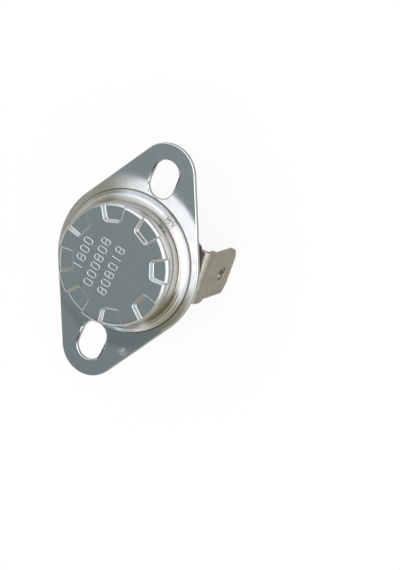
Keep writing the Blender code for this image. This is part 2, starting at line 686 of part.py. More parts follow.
def build_rivet(name, side, sheet_top, material, module):
    """Build a hollow rivet, from its rolled head under a foot to its head inside the base."""
    head_low = Z_FOOT_UNDER - SEAT_GAP
    profile = [
        (RIVET_BORE_RADIUS, sheet_top + RIVET_HEAD), (RIVET_HEAD_RADIUS, sheet_top + RIVET_HEAD),
        (RIVET_HEAD_RADIUS, sheet_top), (RIVET_RADIUS, sheet_top), (RIVET_RADIUS, head_low),
        (RIVET_HEAD_RADIUS, head_low), (RIVET_HEAD_RADIUS, head_low - RIVET_HEAD),
        (RIVET_BORE_RADIUS, head_low - RIVET_HEAD),
    ]
    rivet = turned(name, profile, material, steps=SMALL_STEPS, closed=True,
                   centre=(0.0, side * RIVET_OFFSET))
    carry(rivet, module)


def main():
    """Build every piece of the thermostat."""
    clear_scene()
    aluminium = make_material("drawn_aluminium", (0.62, 0.64, 0.66), 0.25, 1.0)
    zinc = make_material("zinc_plated_steel", (0.55, 0.57, 0.60), 0.30, 1.0)
    phenolic = make_material("black_phenolic", (0.012, 0.012, 0.013), 0.25, 0.0)
    bimetal = make_material("bimetal", (0.45, 0.44, 0.42), 0.35, 1.0)
    brown_phenolic = make_material("guide_phenolic", (0.09, 0.04, 0.02), 0.50, 0.0)
    ceramic = make_material("white_ceramic", (0.80, 0.78, 0.72), 0.45, 0.0)
    copper = make_material("beryllium_copper", (0.72, 0.42, 0.22), 0.30, 1.0)
    silver = make_material("contact_silver", (0.85, 0.84, 0.80), 0.25, 1.0)
    brass = make_material("strip_brass", (0.72, 0.55, 0.25), 0.30, 1.0)
    nickel = make_material("nickel_plated_brass", (0.58, 0.55, 0.48), 0.28, 1.0)

    module = add_empty("module_turn", (0.0, 0.0, 0.0), MODULE_TURN)
    anchor = (0.0, -RIVET_OFFSET, (Z_ARM_UNDER + Z_ARM_TOP) / 2.0)
    pivot = add_empty("arm_pivot", anchor, 0.0, module)

    build_cap(aluminium)
    build_bracket(zinc)
    build_base(phenolic, module)
    build_disc(bimetal, module)
    build_guide_plate(brown_phenolic, module)
    build_pin(ceramic, module)
    build_arm(copper, pivot, anchor)
    build_contacts(silver, module, pivot, anchor)
    build_strip(brass, module)
    build_terminal("terminal_front", 0.0, nickel, module)
    build_terminal("terminal_rear", math.pi, nickel, module)
    build_rivet("rivet_front", -1.0, Z_ARM_TOP + ARM_ROOT_PLAY, nickel, module)
    build_rivet("rivet_rear", 1.0, Z_STRIP_ROOT_UNDER + STRIP_SHEET + SEAT_GAP, nickel, module)


main()
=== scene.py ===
"""Looks of a snap-disc bimetal thermostat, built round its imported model.

The drawn cap, the stamped bracket, the moulded base, the two folded tab terminals and the two
rolled rivets are new surfaces. The switch inside keeps its own solids and gets its finishes here.
Sizes are in millimetres until a mesh is made. +Z leaves the sensing face along the cap's axis,
and +X runs along the bracket.
"""

import logging
import math
from dataclasses import dataclass
from enum import Enum
from typing import Callable, Sequence

import bmesh
import bpy
import numpy as np
from mathutils import Matrix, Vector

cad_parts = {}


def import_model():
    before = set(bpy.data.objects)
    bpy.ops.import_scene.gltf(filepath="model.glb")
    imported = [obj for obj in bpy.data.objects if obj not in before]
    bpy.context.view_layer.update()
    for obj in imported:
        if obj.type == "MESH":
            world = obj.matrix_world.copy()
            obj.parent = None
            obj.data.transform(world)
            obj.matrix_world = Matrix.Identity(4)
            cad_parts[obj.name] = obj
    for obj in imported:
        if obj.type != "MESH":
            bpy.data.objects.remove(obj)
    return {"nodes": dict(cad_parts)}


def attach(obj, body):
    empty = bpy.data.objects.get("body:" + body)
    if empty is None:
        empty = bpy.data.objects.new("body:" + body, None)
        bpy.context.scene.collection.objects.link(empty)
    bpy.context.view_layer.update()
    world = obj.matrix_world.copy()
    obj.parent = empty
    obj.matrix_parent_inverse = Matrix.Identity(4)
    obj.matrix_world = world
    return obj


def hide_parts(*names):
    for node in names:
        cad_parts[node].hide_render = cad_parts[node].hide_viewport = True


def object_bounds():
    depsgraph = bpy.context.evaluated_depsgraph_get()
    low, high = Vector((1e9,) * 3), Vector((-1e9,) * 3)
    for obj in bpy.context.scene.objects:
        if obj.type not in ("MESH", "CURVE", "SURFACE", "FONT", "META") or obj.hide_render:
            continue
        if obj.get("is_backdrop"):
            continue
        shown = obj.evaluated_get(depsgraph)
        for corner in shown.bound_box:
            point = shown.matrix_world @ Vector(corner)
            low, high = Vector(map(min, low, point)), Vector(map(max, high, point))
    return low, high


LOG = logging.getLogger("thermostat")
# Metres in a millimetre
MM = 0.001
# Size in millimetres of the cells in which points are welded, and the share of a cell by which
# they are shifted so that round values stay off their borders
WELD = 1e-4
WELD_SHIFT = 0.37
# How far the base with its terminals is turned in the bracket
MODULE_TURN = math.radians(5.0)
WHITE = (1.0, 1.0, 1.0, 1.0)

# Two outputs of a material's nodes: the colour, and the roughness or the height
Sockets = tuple[bpy.types.NodeSocket, bpy.types.NodeSocket]
# Gives the place in space of plan points at their heights over the middle of a sheet
Place = Callable[[np.ndarray, np.ndarray], np.ndarray]
# A corner of a profile: its two coordinates and the radius of the arc that cuts it
Corner = tuple[float, float, float]


class Body(Enum):
    """The bodies of the frame that pieces ride on."""

    HOUSING = "housing"
    ARM = "arm"
    PIN = "pin"


class Edge(Enum):
    """How the rim of a punched sheet is finished: roll radius above and below, in millimetres."""

    BRACKET = (0.12, 0.05)
    TAB = (0.09, 0.09)


@dataclass
class Surface:
    """A net of points in millimetres and its four-sided faces."""

    points: np.ndarray
    quads: np.ndarray

    def mirrored(self, axis: int) -> "Surface":
        """Return this net and its mirror image across one axis, faces turned to match.

        Args:
            axis: the coordinate that changes sign.

        Returns:
            Both halves as one net, not yet welded.
        """
        other = self.points.copy()
        other[:, axis] *= -1.0
        return joined([self, Surface(other, self.quads[:, ::-1])])

    def turned(self, angle: float) -> "Surface":
        """Turn this net about the vertical axis.

        Args:
            angle: how far, in radians.

        Returns:
            The turned net.
        """
        cos, sin = math.cos(angle), math.sin(angle)
        points = self.points.copy()
        points[:, 0] = self.points[:, 0] * cos - self.points[:, 1] * sin
        points[:, 1] = self.points[:, 0] * sin + self.points[:, 1] * cos
        return Surface(points, self.quads)

    def welded(self) -> "Surface":
        """Weld this net.

        Returns:
            The net with the points that share a place made one, and empty faces dropped.
        """
        keys = np.floor(self.points / WELD + WELD_SHIFT).astype(np.int64)
        _, first, index = np.unique(keys, axis=0, return_index=True, return_inverse=True)
        quads = index.reshape(-1)[self.quads]
        spread = np.sort(quads, axis=1)
        repeats = (spread[:, 1:] == spread[:, :-1]).sum(axis=1)
        return Surface(self.points[first], quads[repeats < 2])


def joined(parts: Sequence[Surface]) -> Surface:
    """Put several nets together without welding them.

    Args:
        parts: the nets.

    Returns:
        One net with all their points and faces.
    """
    starts = np.cumsum([0] + [len(part.points) for part in parts[:-1]])
    points = np.concatenate([part.points for part in parts])
    quads = np.concatenate([part.quads + start for part, start in zip(parts, starts)])
    return Surface(points, quads)


def net(points: np.ndarray, wrap: bool = False) -> Surface:
    """Return the net of a grid of points.

    Args:
        points: array of rows by columns by coordinates.
        wrap: whether the last column joins the first.

    Returns:
        The net, its faces in the order row, next row, next column.
    """
    rows, columns, size = points.shape
    index = np.arange(rows * columns).reshape(rows, columns)
    if wrap:
        index = np.concatenate([index, index[:, :1]], axis=1)
    quads = np.stack([index[:-1, :-1], index[1:, :-1], index[1:, 1:], index[:-1, 1:]], axis=-1)
    return Surface(points.reshape(-1, size), quads.reshape(-1, 4))


def ruled(first: np.ndarray, second: np.ndarray, stations: np.ndarray) -> np.ndarray:
    """Return the grid of straight lines between two curves: (1 - s) first + s second."""
    share = stations[:, None, None]
    return (1.0 - share) * first[None] + share * second[None]


def patch(left: np.ndarray, right: np.ndarray, top: np.ndarray, bottom: np.ndarray) -> np.ndarray:
    """Fill four curves with a grid, as the sum of both rulings less the corners' bilinear blend.

    Args:
        left: points from the top corner to the bottom one, where t is 0.
        right: as many points on the other side, where t is 1.
        top: points from left to right, where s is 0.
        bottom: as many points from left to right, where s is 1.

    Returns:
        Grid of s by t by coordinates.
    """
    s = np.linspace(0.0, 1.0, len(left))[:, None, None]
    t = np.linspace(0.0, 1.0, len(top))[None, :, None]
    across = (1.0 - t) * left[:, None] + t * right[:, None]
    down = (1.0 - s) * top[None] + s * bottom[None]
    begin = (1.0 - t) * left[0] + t * right[0]
    close = (1.0 - t) * left[-1] + t * right[-1]
    return across + down - ((1.0 - s) * begin + s * close)


def polar(radius: np.ndarray | float, angle: np.ndarray) -> np.ndarray:
    """Return points of the plane from radii and angles in radians."""
    return np.stack([radius * np.cos(angle), radius * np.sin(angle)], axis=-1)


def smooth_step(share: np.ndarray) -> np.ndarray:
    """Return 3 s^2 - 2 s^3 for a share held between 0 and 1."""
    held = np.clip(share, 0.0, 1.0)
    return held * held * (3.0 - 2.0 * held)


def filleted(corners: Sequence[Corner], steps: int = 6, guard: float = 0.02) -> np.ndarray:
    """Return an open profile whose corners are cut by arcs.

    Each arc touches both straights, at the radius over the tangent of half the corner's angle
    from the corner. A guard point on each side of it keeps the shading of the straights flat.

    Args:
        corners: (u, v, radius) of each corner, the first and last being the ends.
        steps: segments of each arc.
        guard: distance of the guard points from the arc, or 0 for none.

    Returns:
        Array of (u, v) points.
    """
    rows = [np.array([corners[0][:2]], float)]
    for before, here, after in zip(corners[:-2], corners[1:-1], corners[2:]):
        corner = np.array(here[:2])
        back = np.array(before[:2]) - corner
        ahead = np.array(after[:2]) - corner
        back /= np.linalg.norm(back)
        ahead /= np.linalg.norm(ahead)
        if here[2] <= 0.0:
            rows.append(corner[None])
            continue
        half = math.acos(np.clip(back @ ahead, -1.0, 1.0)) / 2.0
        reach = here[2] / math.tan(half)
        middle = corner + (back + ahead) / np.linalg.norm(back + ahead) * here[2] / math.sin(half)
        first = corner + back * reach - middle
        last = corner + ahead * reach - middle
        share = np.linspace(0.0, 1.0, steps + 1)[:, None]
        sweep = math.pi - 2.0 * half
        bow = (np.sin((1.0 - share) * sweep) * first + np.sin(share * sweep) * last) / math.sin(sweep)
        if guard:
            rows.append((corner + back * (reach + guard))[None])
        rows.append(middle + bow)
        if guard:
            rows.append((corner + ahead * (reach + guard))[None])
    rows.append(np.array([corners[-1][:2]], float))
    return np.concatenate(rows)


def lifted(flat: np.ndarray, height: np.ndarray | float) -> np.ndarray:
    """Lift a grid of the plane into space.

    Args:
        flat: array of rows by columns by (x, y).
        height: z of every point, of each row, or of all.

    Returns:
        Array of rows by columns by (x, y, z).
    """
    levels = np.broadcast_to(height, flat.shape[:2])[..., None]
    return np.concatenate([flat, levels], axis=-1)


def lathe(profile: np.ndarray, columns: int, centre: tuple[float, float] = (0.0, 0.0)) -> Surface:
    """Turn a profile of (radius, z) points about a vertical axis.

    Args:
        profile: rows of (radius, z).
        columns: how many steps the turn takes.
        centre: where the axis stands.

    Returns:
        The net of (radius cos a + x, radius sin a + y, z) over every angle a.
    """
    angle = np.arange(columns) * math.tau / columns
    flat = polar(profile[:, :1], angle[None, :]) + np.array(centre)
    return net(lifted(flat, profile[:, 1:]), wrap=True)


def sheet_solid(plan: Surface, thickness: float, edge: Edge, place: Place, steps: int = 5,
                guard: float = 0.03) -> Surface:
    """Give a plan of a sheet its thickness and its rolled rim.

    The rim of the plan is found as the edges that belong to one face. Its points move inwards
    along the mitred normal 2 S / |S|^2, S being the sum of both edges' unit normals. From there
    a profile of two arcs is carried round every rim, holes included.

    Args:
        plan: welded net in the plane, its outline at the sheet's true outline.
        thickness: the sheet's gauge in millimetres.
        edge: how the rim is finished.
        place: gives the place in space of plan points at a height over the sheet's middle.
        steps: segments of each arc.
        guard: width of the flat strip beside each arc, which keeps the shading of the face flat.

    Returns:
        The closed net.
    """
    flat, quads = plan.points[:, :2], plan.quads
    corner = flat[quads]
    following = np.roll(corner, -1, axis=1)
    area = (corner[..., 0] * following[..., 1] - corner[..., 1] * following[..., 0]).sum(axis=1)
    quads = np.where((area < 0.0)[:, None], quads[:, ::-1], quads)
    tail = quads.reshape(-1)
    head = np.roll(quads, -1, axis=1).reshape(-1)
    kept = tail != head
    tail, head = tail[kept], head[kept]
    count = len(flat)
    rim = ~np.isin(tail * count + head, head * count + tail)
    tail, head = tail[rim], head[rim]
    run = flat[head] - flat[tail]
    run /= np.linalg.norm(run, axis=1, keepdims=True)
    outward = np.stack([run[:, 1], -run[:, 0]], axis=1)
    total = np.zeros_like(flat)
    np.add.at(total, tail, outward)
    np.add.at(total, head, outward)
    on_rim = np.unique(tail)
    normal = 2.0 * total[on_rim] / (total[on_rim] ** 2).sum(axis=1, keepdims=True)

    above, below = edge.value
    inset = max(above, below) + guard
    flat = flat.copy()
    flat[on_rim] -= normal * inset
    half = thickness / 2.0
    turn = np.linspace(0.0, math.pi / 2.0, steps + 1)
    outs = np.concatenate([[0.0, inset - above - guard], inset - above + above * np.sin(turn),
                           (inset - below + below * np.sin(turn))[::-1], [inset - below - guard, 0.0]])
    heights = np.concatenate([[half, half], half - above + above * np.cos(turn),
                              (below - half - below * np.cos(turn))[::-1], [-half, -half]])
    rows = flat[on_rim][None] + normal[None] * outs[:, None, None]
    levels = np.broadcast_to(heights[:, None], rows.shape[:2])
    number = np.zeros(count, np.int64)
    number[on_rim] = np.arange(len(on_rim))
    tail, head = number[tail], number[head]
    wide = len(on_rim)
    row = np.arange(len(outs) - 1)[:, None] * wide
    strips = np.stack([tail + row, tail + row + wide, head + row + wide, head + row], axis=-1)
    caps = [Surface(place(flat, np.full(count, level)), quads[:, ::side])
            for level, side in ((half, 1), (-half, -1))]
    wall = Surface(place(rows.reshape(-1, 2), levels.reshape(-1)), strips.reshape(-1, 4))
    return joined(caps + [wall])


def make_object(name: str, surface: Surface, material: bpy.types.Material) -> bpy.types.Object:
    """Turn a net into a smooth-shaded object at the origin, its faces pointing outwards.

    Args:
        name: the object's name.
        surface: closed net in millimetres, which is welded here.
        material: its finish.

    Returns:
        The object, linked to the scene.
    """
    shape = surface.welded()
    mesh = bpy.data.meshes.new(name)
    faces = [list(dict.fromkeys(face)) for face in shape.quads.tolist()]
    mesh.from_pydata((shape.points * MM).tolist(), [], faces)
    bm = bmesh.new()
    bm.from_mesh(mesh)
    bmesh.ops.remove_doubles(bm, verts=bm.verts[:], dist=WELD * MM)
    bmesh.ops.recalc_face_normals(bm, faces=bm.faces[:])
    bm.to_mesh(mesh)
    open_edges = sum(not edge.is_manifold for edge in bm.edges)
    bm.free()
    mesh.shade_smooth()
    mesh.materials.append(material)
    obj = bpy.data.objects.new(name, mesh)
    bpy.context.scene.collection.objects.link(obj)
    LOG.info("%s: %d points, %d faces, %d open edges", name, len(mesh.vertices), len(mesh.polygons),
             open_edges)
    return obj


def linear(code: str) -> tuple[float, float, float, float]:
    """Turn an sRGB value to linear light: c / 12.92 if dark, else ((c + 0.055) / 1.055)^2.4.

    Args:
        code: the hex value, such as #8A9296.

    Returns:
        Red, green and blue, and an alpha of 1.
    """
    parts = np.array([int(code[i:i + 2], 16) for i in (1, 3, 5)]) / 255.0
    low = parts / 12.92
    high = ((parts + 0.055) / 1.055) ** 2.4
    return (*np.where(parts <= 0.04045, low, high).tolist(), 1.0)


def add_node(tree: bpy.types.NodeTree, kind: str, settings: dict | None = None,
             inputs: dict | None = None) -> bpy.types.Node:
    """Add a node with its settings and its links.

    Args:
        tree: the node tree.
        kind: the node's type name.
        settings: attributes of the node.
        inputs: for each input's name or number, a socket to link or a value to set.

    Returns:
        The node.
    """
    node = tree.nodes.new(kind)
    for key, value in (settings or {}).items():
        setattr(node, key, value)
    for key, value in (inputs or {}).items():
        if isinstance(value, bpy.types.NodeSocket):
            tree.links.new(value, node.inputs[key])
        else:
            node.inputs[key].default_value = value
    return node


@dataclass(frozen=True)
class Blemish:
    """A worn place: where it is, how far it reaches and the colour that shows through its scuffs.

    It is whole inside its core, a share of its reach. The scuffs are streaks of noise between
    two levels, as long as the streak sizes say.
    """

    place_mm: tuple[float, float, float]
    reach_mm: float
    color: str
    strength: float
    core: float = 0.2
    streak_mm: tuple[float, float, float] = (0.4167, 0.1389, 0.3333)
    streak_low: float = 0.44
    streak_high: float = 0.60
    roughness: float = 0.6


@dataclass(frozen=True)
class Band:
    """A band of painted shade and painted reflection round the cap: another colour between two levels,
    strongest towards one side.
    """

    low_mm: float
    high_mm: float
    color: str
    side_deg: float | None = None


@dataclass(frozen=True)
class Finish:
    """A finish: its colours, its gloss and the real sizes of its mottling and of its fine relief.

    The mottling varies colour and roughness between two values, as its noise goes from its low
    level to its high one. The relief is a bump whose height is kept in metres.
    """

    name: str
    base: str
    shade: str
    smoothest: float
    roughest: float
    metallic: float
    mottle_mm: float
    relief_mm: float
    relief_depth_mm: float
    specular: float = 0.5
    coat: float = 0.0
    coat_roughness: float = 0.08
    mottle_low: float = 0.35
    mottle_high: float = 0.65
    blemishes: tuple[Blemish, ...] = ()

    def build(self) -> bpy.types.Material:
        """Make the material of this finish.

        Returns:
            The material, which reads Object coordinates alone.
        """
        material = bpy.data.materials.new(self.name)
        material.use_nodes = True
        tree = material.node_tree
        shader = tree.nodes["Principled BSDF"]
        shader.inputs["Metallic"].default_value = self.metallic
        if not self.metallic:
            shader.inputs["Specular IOR Level"].default_value = self.specular
            shader.inputs["Coat Weight"].default_value = self.coat
            shader.inputs["Coat Roughness"].default_value = self.coat_roughness
        place = add_node(tree, "ShaderNodeTexCoord").outputs["Object"]
        mottle = add_node(tree, "ShaderNodeTexNoise", {}, {
            "Vector": place, "Scale": 1.0 / (self.mottle_mm * MM), "Detail": 4.0, "Roughness": 0.6,
        }).outputs["Fac"]
        share = add_node(tree, "ShaderNodeMapRange", {}, {
            "Value": mottle, "From Min": self.mottle_low, "From Max": self.mottle_high,
        }).outputs["Result"]
        color = add_node(tree, "ShaderNodeMix", {"data_type": "RGBA"}, {
            "Factor": share, 6: linear(self.base), 7: linear(self.shade),
        }).outputs[2]
        rough = add_node(tree, "ShaderNodeMapRange", {}, {
            "Value": share, "To Min": self.smoothest, "To Max": self.roughest,
        }).outputs["Result"]
        grain = add_node(tree, "ShaderNodeTexNoise", {}, {
            "Vector": place, "Scale": 1.0 / (self.relief_mm * MM), "Detail": 3.0,
        }).outputs["Fac"]
        height = add_node(tree, "ShaderNodeMath", {"operation": "MULTIPLY"}, {
            0: grain, 1: self.relief_depth_mm * MM,
        }).outputs[0]
        for blemish in self.blemishes:
            color, rough = self.scuffed(tree, place, color, rough, blemish)
        color, height = self.stamped(tree, place, color, height)
        bump = add_node(tree, "ShaderNodeBump", {}, {
            "Height": height, "Strength": 1.0, "Distance": 1.0,
        }).outputs["Normal"]
        tree.links.new(color, shader.inputs["Base Color"])
        tree.links.new(rough, shader.inputs["Roughness"])
        tree.links.new(bump, shader.inputs["Normal"])
        return material

    def scuffed(self, tree: bpy.types.NodeTree, place: bpy.types.NodeSocket, color: bpy.types.NodeSocket,
                rough: bpy.types.NodeSocket, blemish: Blemish) -> Sockets:
        """Add a scuffed place to colour and roughness: short streaks, thickest in its middle.

        Args:
            tree: the material's node tree.
            place: Object coordinates.
            color: the colour so far.
            rough: the roughness so far.
            blemish: the worn place.

        Returns:
            The new colour and the new roughness.
        """
        centre = tuple(value * MM for value in blemish.place_mm)
        scale = tuple(1.0 / (size * MM) for size in blemish.streak_mm)
        away = add_node(tree, "ShaderNodeVectorMath", {"operation": "DISTANCE"},
                        {0: place, 1: centre}).outputs["Value"]
        near = add_node(tree, "ShaderNodeMapRange", {"interpolation_type": "SMOOTHSTEP"}, {
            "Value": away, "From Min": blemish.reach_mm * MM,
            "From Max": blemish.core * blemish.reach_mm * MM,
        }).outputs["Result"]
        stretched = add_node(tree, "ShaderNodeVectorMath", {"operation": "MULTIPLY"},
                             {0: place, 1: scale}).outputs["Vector"]
        streaks = add_node(tree, "ShaderNodeTexNoise", {}, {
            "Vector": stretched, "Scale": 1.0, "Detail": 3.0, "Roughness": 0.7,
        }).outputs["Fac"]
        sharp = add_node(tree, "ShaderNodeMapRange", {}, {
            "Value": streaks, "From Min": blemish.streak_low, "From Max": blemish.streak_high,
        }).outputs["Result"]
        share = add_node(tree, "ShaderNodeMath", {"operation": "MULTIPLY"},
                         {0: near, 1: sharp}).outputs[0]
        held = add_node(tree, "ShaderNodeMath", {"operation": "MULTIPLY"},
                        {0: share, 1: blemish.strength}).outputs[0]
        color = add_node(tree, "ShaderNodeMix", {"data_type": "RGBA"},
                         {"Factor": held, 6: color, 7: linear(blemish.color)}).outputs[2]
        rough = add_node(tree, "ShaderNodeMix", {"data_type": "FLOAT"},
                         {"Factor": held, 2: rough, 3: blemish.roughness}).outputs[0]
        return color, rough

    def stamped(self, tree: bpy.types.NodeTree, place: bpy.types.NodeSocket, color: bpy.types.NodeSocket,
                height: bpy.types.NodeSocket) -> Sockets:
        """Return colour and height with what the press leaves; a plain finish has nothing."""
        return color, height


@dataclass(frozen=True)
class CapFinish(Finish):
    """The cap's finish, with rows of plain numerals pressed in, and bands of painted shade and painted
    reflection over the wall and the crimp.

    The numerals stand in cells of one pitch by one row. The rows end at a reach from the middle,
    and the lowest row is cut shorter. Each band is whole inside its core, a share of its half
    width, and one that has a side fades in between two cosines of the angle from that side.
    """

    pitch_mm: float = 1.2
    row_mm: float = 2.25
    row_reach_mm: float = 3.6
    row_cut_mm: float = 1.2
    first_row: int = -2
    last_row: int = 0
    lowest_mm: float = -0.3
    seed: float = 4.0
    eight_from: float = 0.45
    one_from: float = 0.75
    middle_mm: tuple[float, float] = (-0.6, -0.3)
    half_width_mm: float = 0.34
    half_height_mm: float = 0.62
    corner_mm: float = 0.3
    stroke_mm: float = 0.075
    stroke_depth_mm: float = 0.016
    wall_mm: float = 7.95
    band_core: float = 0.4
    side_low: float = 0.3
    side_high: float = 0.95
    # Painted shade: the wall, the crimp and the ring's lower slope are tinted darker where they mirrored
    # the room too brightly; the band towards -90 degrees paints an olive-brown reflection into the
    # crimp's lower right side.
    painted_shade_bands: tuple[Band, ...] = (
        Band(-2.70, -0.62, "#C6C2BB"),
        Band(-3.34, -2.74, "#ADAAA5"),
        Band(-3.22, -2.74, "#B5AD97", -90.0),
        Band(-3.66, -3.46, "#D5D8DB"),
    )

    def stamped(self, tree: bpy.types.NodeTree, place: bpy.types.NodeSocket, color: bpy.types.NodeSocket,
                height: bpy.types.NodeSocket) -> Sockets:
        """Press in the numerals, and lay the bands of painted shade and painted reflection over the wall
        and the crimp.

        Each cell holds one numeral, which is a 0, an 8 or a 1 as its random value falls. The 0 is
        the line at no distance from a rounded box, |length(max(q, 0)) + min(max(q), 0) - r|.
        The 8 adds its middle bar, and the 1 is an upright bar. Rows read along -X.

        Args:
            tree: the material's node tree.
            place: Object coordinates.
            color: the colour so far.
            height: the relief so far, in metres.

        Returns:
            The new colour and the new height.
        """
        flipped = add_node(tree, "ShaderNodeVectorMath", {"operation": "MULTIPLY_ADD"}, {
            0: place, 1: (-1.0 / MM, -1.0 / MM, 1.0 / MM), 2: (*self.middle_mm, 0.0),
        }).outputs["Vector"]
        parts = add_node(tree, "ShaderNodeSeparateXYZ", {}, {0: flipped})
        along, across, level = parts.outputs
        cell, local, inside = [], [], []
        for value, pitch, shift in ((along, self.pitch_mm, 0.5), (across, self.row_mm, 0.0)):
            steps = add_node(tree, "ShaderNodeMath", {"operation": "MULTIPLY_ADD"},
                             {0: value, 1: 1.0 / pitch, 2: 0.5 + shift}).outputs[0]
            cell.append(add_node(tree, "ShaderNodeMath", {"operation": "FLOOR"},
                                 {0: steps}).outputs[0])
            rest = add_node(tree, "ShaderNodeMath", {"operation": "FRACT"}, {0: steps}).outputs[0]
            centred = add_node(tree, "ShaderNodeMath", {"operation": "MULTIPLY_ADD"},
                               {0: rest, 1: pitch, 2: -pitch / 2.0}).outputs[0]
            local.append(add_node(tree, "ShaderNodeMath", {"operation": "ABSOLUTE"},
                                  {0: centred}).outputs[0])
        for value, half in zip(local, (self.half_width_mm, self.half_height_mm)):
            inside.append(add_node(tree, "ShaderNodeMath", {"operation": "SUBTRACT"},
                                   {0: value, 1: half - self.corner_mm}).outputs[0])
        clipped = [add_node(tree, "ShaderNodeMath", {"operation": "MAXIMUM"},
                            {0: value, 1: 0.0}).outputs[0] for value in inside]
        corner = add_node(tree, "ShaderNodeCombineXYZ", {}, {0: clipped[0], 1: clipped[1]}).outputs[0]
        length = add_node(tree, "ShaderNodeVectorMath", {"operation": "LENGTH"},
                          {0: corner}).outputs["Value"]
        largest = add_node(tree, "ShaderNodeMath", {"operation": "MAXIMUM"},
                           {0: inside[0], 1: inside[1]}).outputs[0]
        under = add_node(tree, "ShaderNodeMath", {"operation": "MINIMUM"},
                         {0: largest, 1: 0.0}).outputs[0]
        total = add_node(tree, "ShaderNodeMath", {"operation": "ADD"}, {0: length, 1: under}).outputs[0]
        signed = add_node(tree, "ShaderNodeMath", {"operation": "SUBTRACT"},
                          {0: total, 1: self.corner_mm}).outputs[0]
        ring = add_node(tree, "ShaderNodeMath", {"operation": "ABSOLUTE"}, {0: signed}).outputs[0]
        beside = add_node(tree, "ShaderNodeMath", {"operation": "SUBTRACT"},
                          {0: local[0], 1: self.half_width_mm}).outputs[0]
        above = add_node(tree, "ShaderNodeMath", {"operation": "SUBTRACT"},
                         {0: local[1], 1: self.half_height_mm}).outputs[0]
        bar = add_node(tree, "ShaderNodeMath", {"operation": "MAXIMUM"},
                       {0: local[1], 1: beside}).outputs[0]
        upright = add_node(tree, "ShaderNodeMath", {"operation": "MAXIMUM"},
                           {0: local[0], 1: above}).outputs[0]
        eight = add_node(tree, "ShaderNodeMath", {"operation": "MINIMUM"}, {0: ring, 1: bar}).outputs[0]
        seed = add_node(tree, "ShaderNodeCombineXYZ", {},
                        {0: cell[0], 1: cell[1], 2: self.seed}).outputs[0]
        chance = add_node(tree, "ShaderNodeTexWhiteNoise", {}, {"Vector": seed}).outputs["Value"]
        distance = ring
        for limit, glyph in ((self.eight_from, eight), (self.one_from, upright)):
            chosen = add_node(tree, "ShaderNodeMath", {"operation": "GREATER_THAN"},
                              {0: chance, 1: limit}).outputs[0]
            distance = add_node(tree, "ShaderNodeMix", {"data_type": "FLOAT"},
                                {"Factor": chosen, 2: distance, 3: glyph}).outputs[0]
        stroke = add_node(tree, "ShaderNodeMapRange", {"interpolation_type": "SMOOTHSTEP"}, {
            "Value": distance, "From Min": self.stroke_mm, "From Max": 0.0,
        }).outputs["Result"]
        shorter = add_node(tree, "ShaderNodeMath", {"operation": "LESS_THAN"},
                           {0: cell[1], 1: self.first_row + 0.5}).outputs[0]
        limit = add_node(tree, "ShaderNodeMath", {"operation": "MULTIPLY_ADD"},
                         {0: shorter, 1: -self.row_cut_mm, 2: self.row_reach_mm}).outputs[0]
        reach = add_node(tree, "ShaderNodeMath", {"operation": "ABSOLUTE"}, {0: along}).outputs[0]
        for value, operation, bound in (
            (reach, "LESS_THAN", limit), (cell[1], "GREATER_THAN", self.first_row - 0.5),
            (cell[1], "LESS_THAN", self.last_row + 0.5), (level, "GREATER_THAN", self.lowest_mm),
        ):
            kept = add_node(tree, "ShaderNodeMath", {"operation": operation},
                            {0: value, 1: bound}).outputs[0]
            stroke = add_node(tree, "ShaderNodeMath", {"operation": "MULTIPLY"},
                              {0: stroke, 1: kept}).outputs[0]
        height = add_node(tree, "ShaderNodeMath", {"operation": "MULTIPLY_ADD"},
                          {0: stroke, 1: -self.stroke_depth_mm * MM, 2: height}).outputs[0]
        # Painted shade and painted reflection: each band tints the metal between two levels, towards one
        # side if it has one.
        for band in self.painted_shade_bands:
            half = (band.high_mm - band.low_mm) / 2.0
            off = add_node(tree, "ShaderNodeMath", {"operation": "SUBTRACT"},
                           {0: level, 1: band.low_mm + half}).outputs[0]
            apart = add_node(tree, "ShaderNodeMath", {"operation": "ABSOLUTE"}, {0: off}).outputs[0]
            share = add_node(tree, "ShaderNodeMapRange", {"interpolation_type": "SMOOTHSTEP"}, {
                "Value": apart, "From Min": half, "From Max": self.band_core * half,
            }).outputs["Result"]
            if band.side_deg is not None:
                angle = math.radians(band.side_deg)
                wall = self.wall_mm * MM
                toward = (math.cos(angle) / wall, math.sin(angle) / wall, 0.0)
                facing = add_node(tree, "ShaderNodeVectorMath", {"operation": "DOT_PRODUCT"},
                                  {0: place, 1: toward}).outputs["Value"]
                turned = add_node(tree, "ShaderNodeMapRange", {"interpolation_type": "SMOOTHSTEP"}, {
                    "Value": facing, "From Min": self.side_low, "From Max": self.side_high,
                }).outputs["Result"]
                share = add_node(tree, "ShaderNodeMath", {"operation": "MULTIPLY"},
                                 {0: share, 1: turned}).outputs[0]
            color = add_node(tree, "ShaderNodeMix", {"data_type": "RGBA"},
                             {"Factor": share, 6: color, 7: linear(band.color)}).outputs[2]
        return color, height


